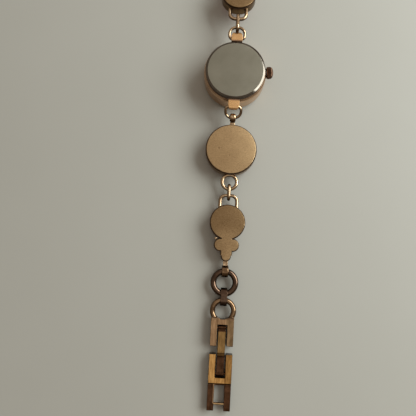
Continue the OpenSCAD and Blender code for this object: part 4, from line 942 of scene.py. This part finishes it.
def build_dial():
    """Hour markers with bevelled tops and faceted hands, which show ten past ten and 35 seconds."""
    bars = []
    for i in range(12):
        low, high = -0.14, 0.28 * (2 if i % 3 == 0 else 1) - 0.14
        outline = [(4.75, low), (6.05, low), (6.05, high), (4.75, high)]
        bars.append(move(bevelled(outline, DIAL_Z - 0.16, DIAL_Z, 0.05), turn=math.radians(30 * i)))
    piece("applied_markers", join(*bars), "head", "hour_markers", "polished_rose", POLISHED, smooth=20)
    for body, length, width, bore, hub, level, angle in (
            ("hour", 3.5, 0.62, 0.36, 0.76, DIAL_Z - 0.5, 30 * (10 + 10 / 60)),
            ("minute", 5.2, 0.5, 0.16, 0.57, DIAL_Z - 0.85, 6 * 10)):
        leaf = move(faceted_hand(length, width, level), turn=math.radians(angle - 90))
        boss = soften_corners([(bore, level), (hub, level), (hub, level + HAND_T), (bore, level + HAND_T)],
                              [0, 0.05, 0, 0])
        piece(body + "_leaf", join(leaf, lathe(boss, steps=48)), body, body + "_hand", "polished_rose", POLISHED,
              smooth=20)
    level = DIAL_Z - 1.17
    needle = bevelled([(-1.6, -0.06), (5.5, -0.03), (5.5, 0.03), (-1.6, 0.06)], level, level + HAND_T, 0.02)
    cap = lathe([(0, level), (0.34, level), (0.4, level + 0.05), (0.4, level + HAND_T), (0, level + HAND_T)],
                closed=False, steps=48)
    piece("sweep_needle", join(move(needle, turn=math.radians(6 * 35 - 90)), cap), "second", "second_hand",
          "polished_rose", POLISHED, smooth=20)


build_case()
build_crown()
build_rings()
build_large_links()
build_small_links()
build_clasp()
build_pins()
build_dial()

# What the CAD nodes that are shown as they are look like; the rest of them are brass
KEPT = {"dial": DIAL, "circuit_board": BOARD, "coil": COPPER}
for look, names in ((PLASTIC, "crystal_gasket movement_ring"), (RUBBER, "case_gasket crown_gasket"),
                    (STEEL, "crown_tube battery quartz_can stator movement_screws rotor minute_pinion"),
                    (STEEL, "setting_lever sliding_pinion stem")):
    KEPT.update(dict.fromkeys(names.split(), look))
for node_name, node_object in NODES.items():
    for material_slot in node_object.material_slots:
        material_slot.material = KEPT.get(node_name, BRASS)


# ---------------------------------------------------------------- stage, light and camera
def build_stage():
    """A plain pale table."""
    half = 1.5
    corners = [(-half, -half, 0), (half, -half, 0), (half, half, 0), (-half, half, 0)]
    mesh = raw_mesh("table", (corners, [(0, 1, 2, 3)]))
    mat, tree = blank("table_paint")
    place = coords(tree)
    colour = ramp(tree, noise_at(tree, place, 0.02, 3.0), (0.3, (0.425, 0.42, 0.37)), (0.7, (0.44, 0.435, 0.385)))
    mesh.materials.append(dress(mat, Roughness=0.55, Specular_IOR_Level=0.25, Base_Color=colour,
                                Normal=bump(tree, noise_at(tree, place, 3.0, 4.0), 0.01)))
    linked("table", mesh)


def build_lamp():
    """A soft lamp low beyond the crown's side."""
    place, target = Vector((0.32, 0.10, 0.255)), Vector((0, -0.04, 0))
    data = bpy.data.lights.new("key", "AREA")
    data.shape = "RECTANGLE"
    data.size, data.size_y = 0.44, 0.25
    data.energy = 2.4
    data.color = (0.93, 0.985, 1.0)
    lamp = linked("key", data)
    lamp.location = place
    lamp.rotation_euler = (target - place).to_track_quat("-Z", "Y").to_euler()


def build_world():
    """A dim world, pale overhead on the 6 o'clock side, with a small glow above the clasp's side."""
    world = bpy.data.worlds.new("studio")
    bpy.context.scene.world = world
    world.use_nodes = True
    tree = world.node_tree

    def towards(way):
        """The cosine of the angle to a direction, spread over 0 to 1."""
        place = add(tree, "ShaderNodeTexCoord", "Generated")
        dot = add(tree, "ShaderNodeVectorMath", "Value", {0: place, 1: Vector(way).normalized()},
                  operation="DOT_PRODUCT")
        return spread(tree, dot, 0.0, 1.0, -1.0, 1.0)

    sky = ramp(tree, towards((0.12, 0.58, 0.80)), (0.42, (0.10, 0.08, 0.064)), (0.63, (0.25, 0.206, 0.168)),
               (0.787, (0.36, 0.305, 0.257)), (0.872, (0.40, 0.345, 0.298)), (0.92, (0.45, 0.393, 0.345)),
               (0.985, (0.53, 0.468, 0.42)))
    glow = spread(tree, towards((0, -0.26, 0.97)), 0.0, 0.45, 0.983, 0.997)
    both = add(tree, "ShaderNodeMix", "Result", {"Factor": 1.0, "A": sky, "B": glow},
               data_type="RGBA", blend_type="ADD")
    background = tree.nodes["Background"]
    feed(tree, background.inputs["Color"], both)
    background.inputs["Strength"].default_value = 1.0


def build_camera():
    """The photograph's view: above the clasp half, tipped a little, rolled a little."""
    data = bpy.data.cameras.new("view")
    data.sensor_width = 36
    data.lens = 36
    data.clip_start = 0.001
    camera = linked("view", data)
    camera.location = (-0.005055, -0.05382, 0.122)
    camera.rotation_euler = (math.radians(6.6), 0, math.radians(3.1))
    bpy.context.scene.camera = camera


build_stage()
build_world()
build_lamp()
build_camera()
bpy.context.scene.view_settings.view_transform = "Standard"
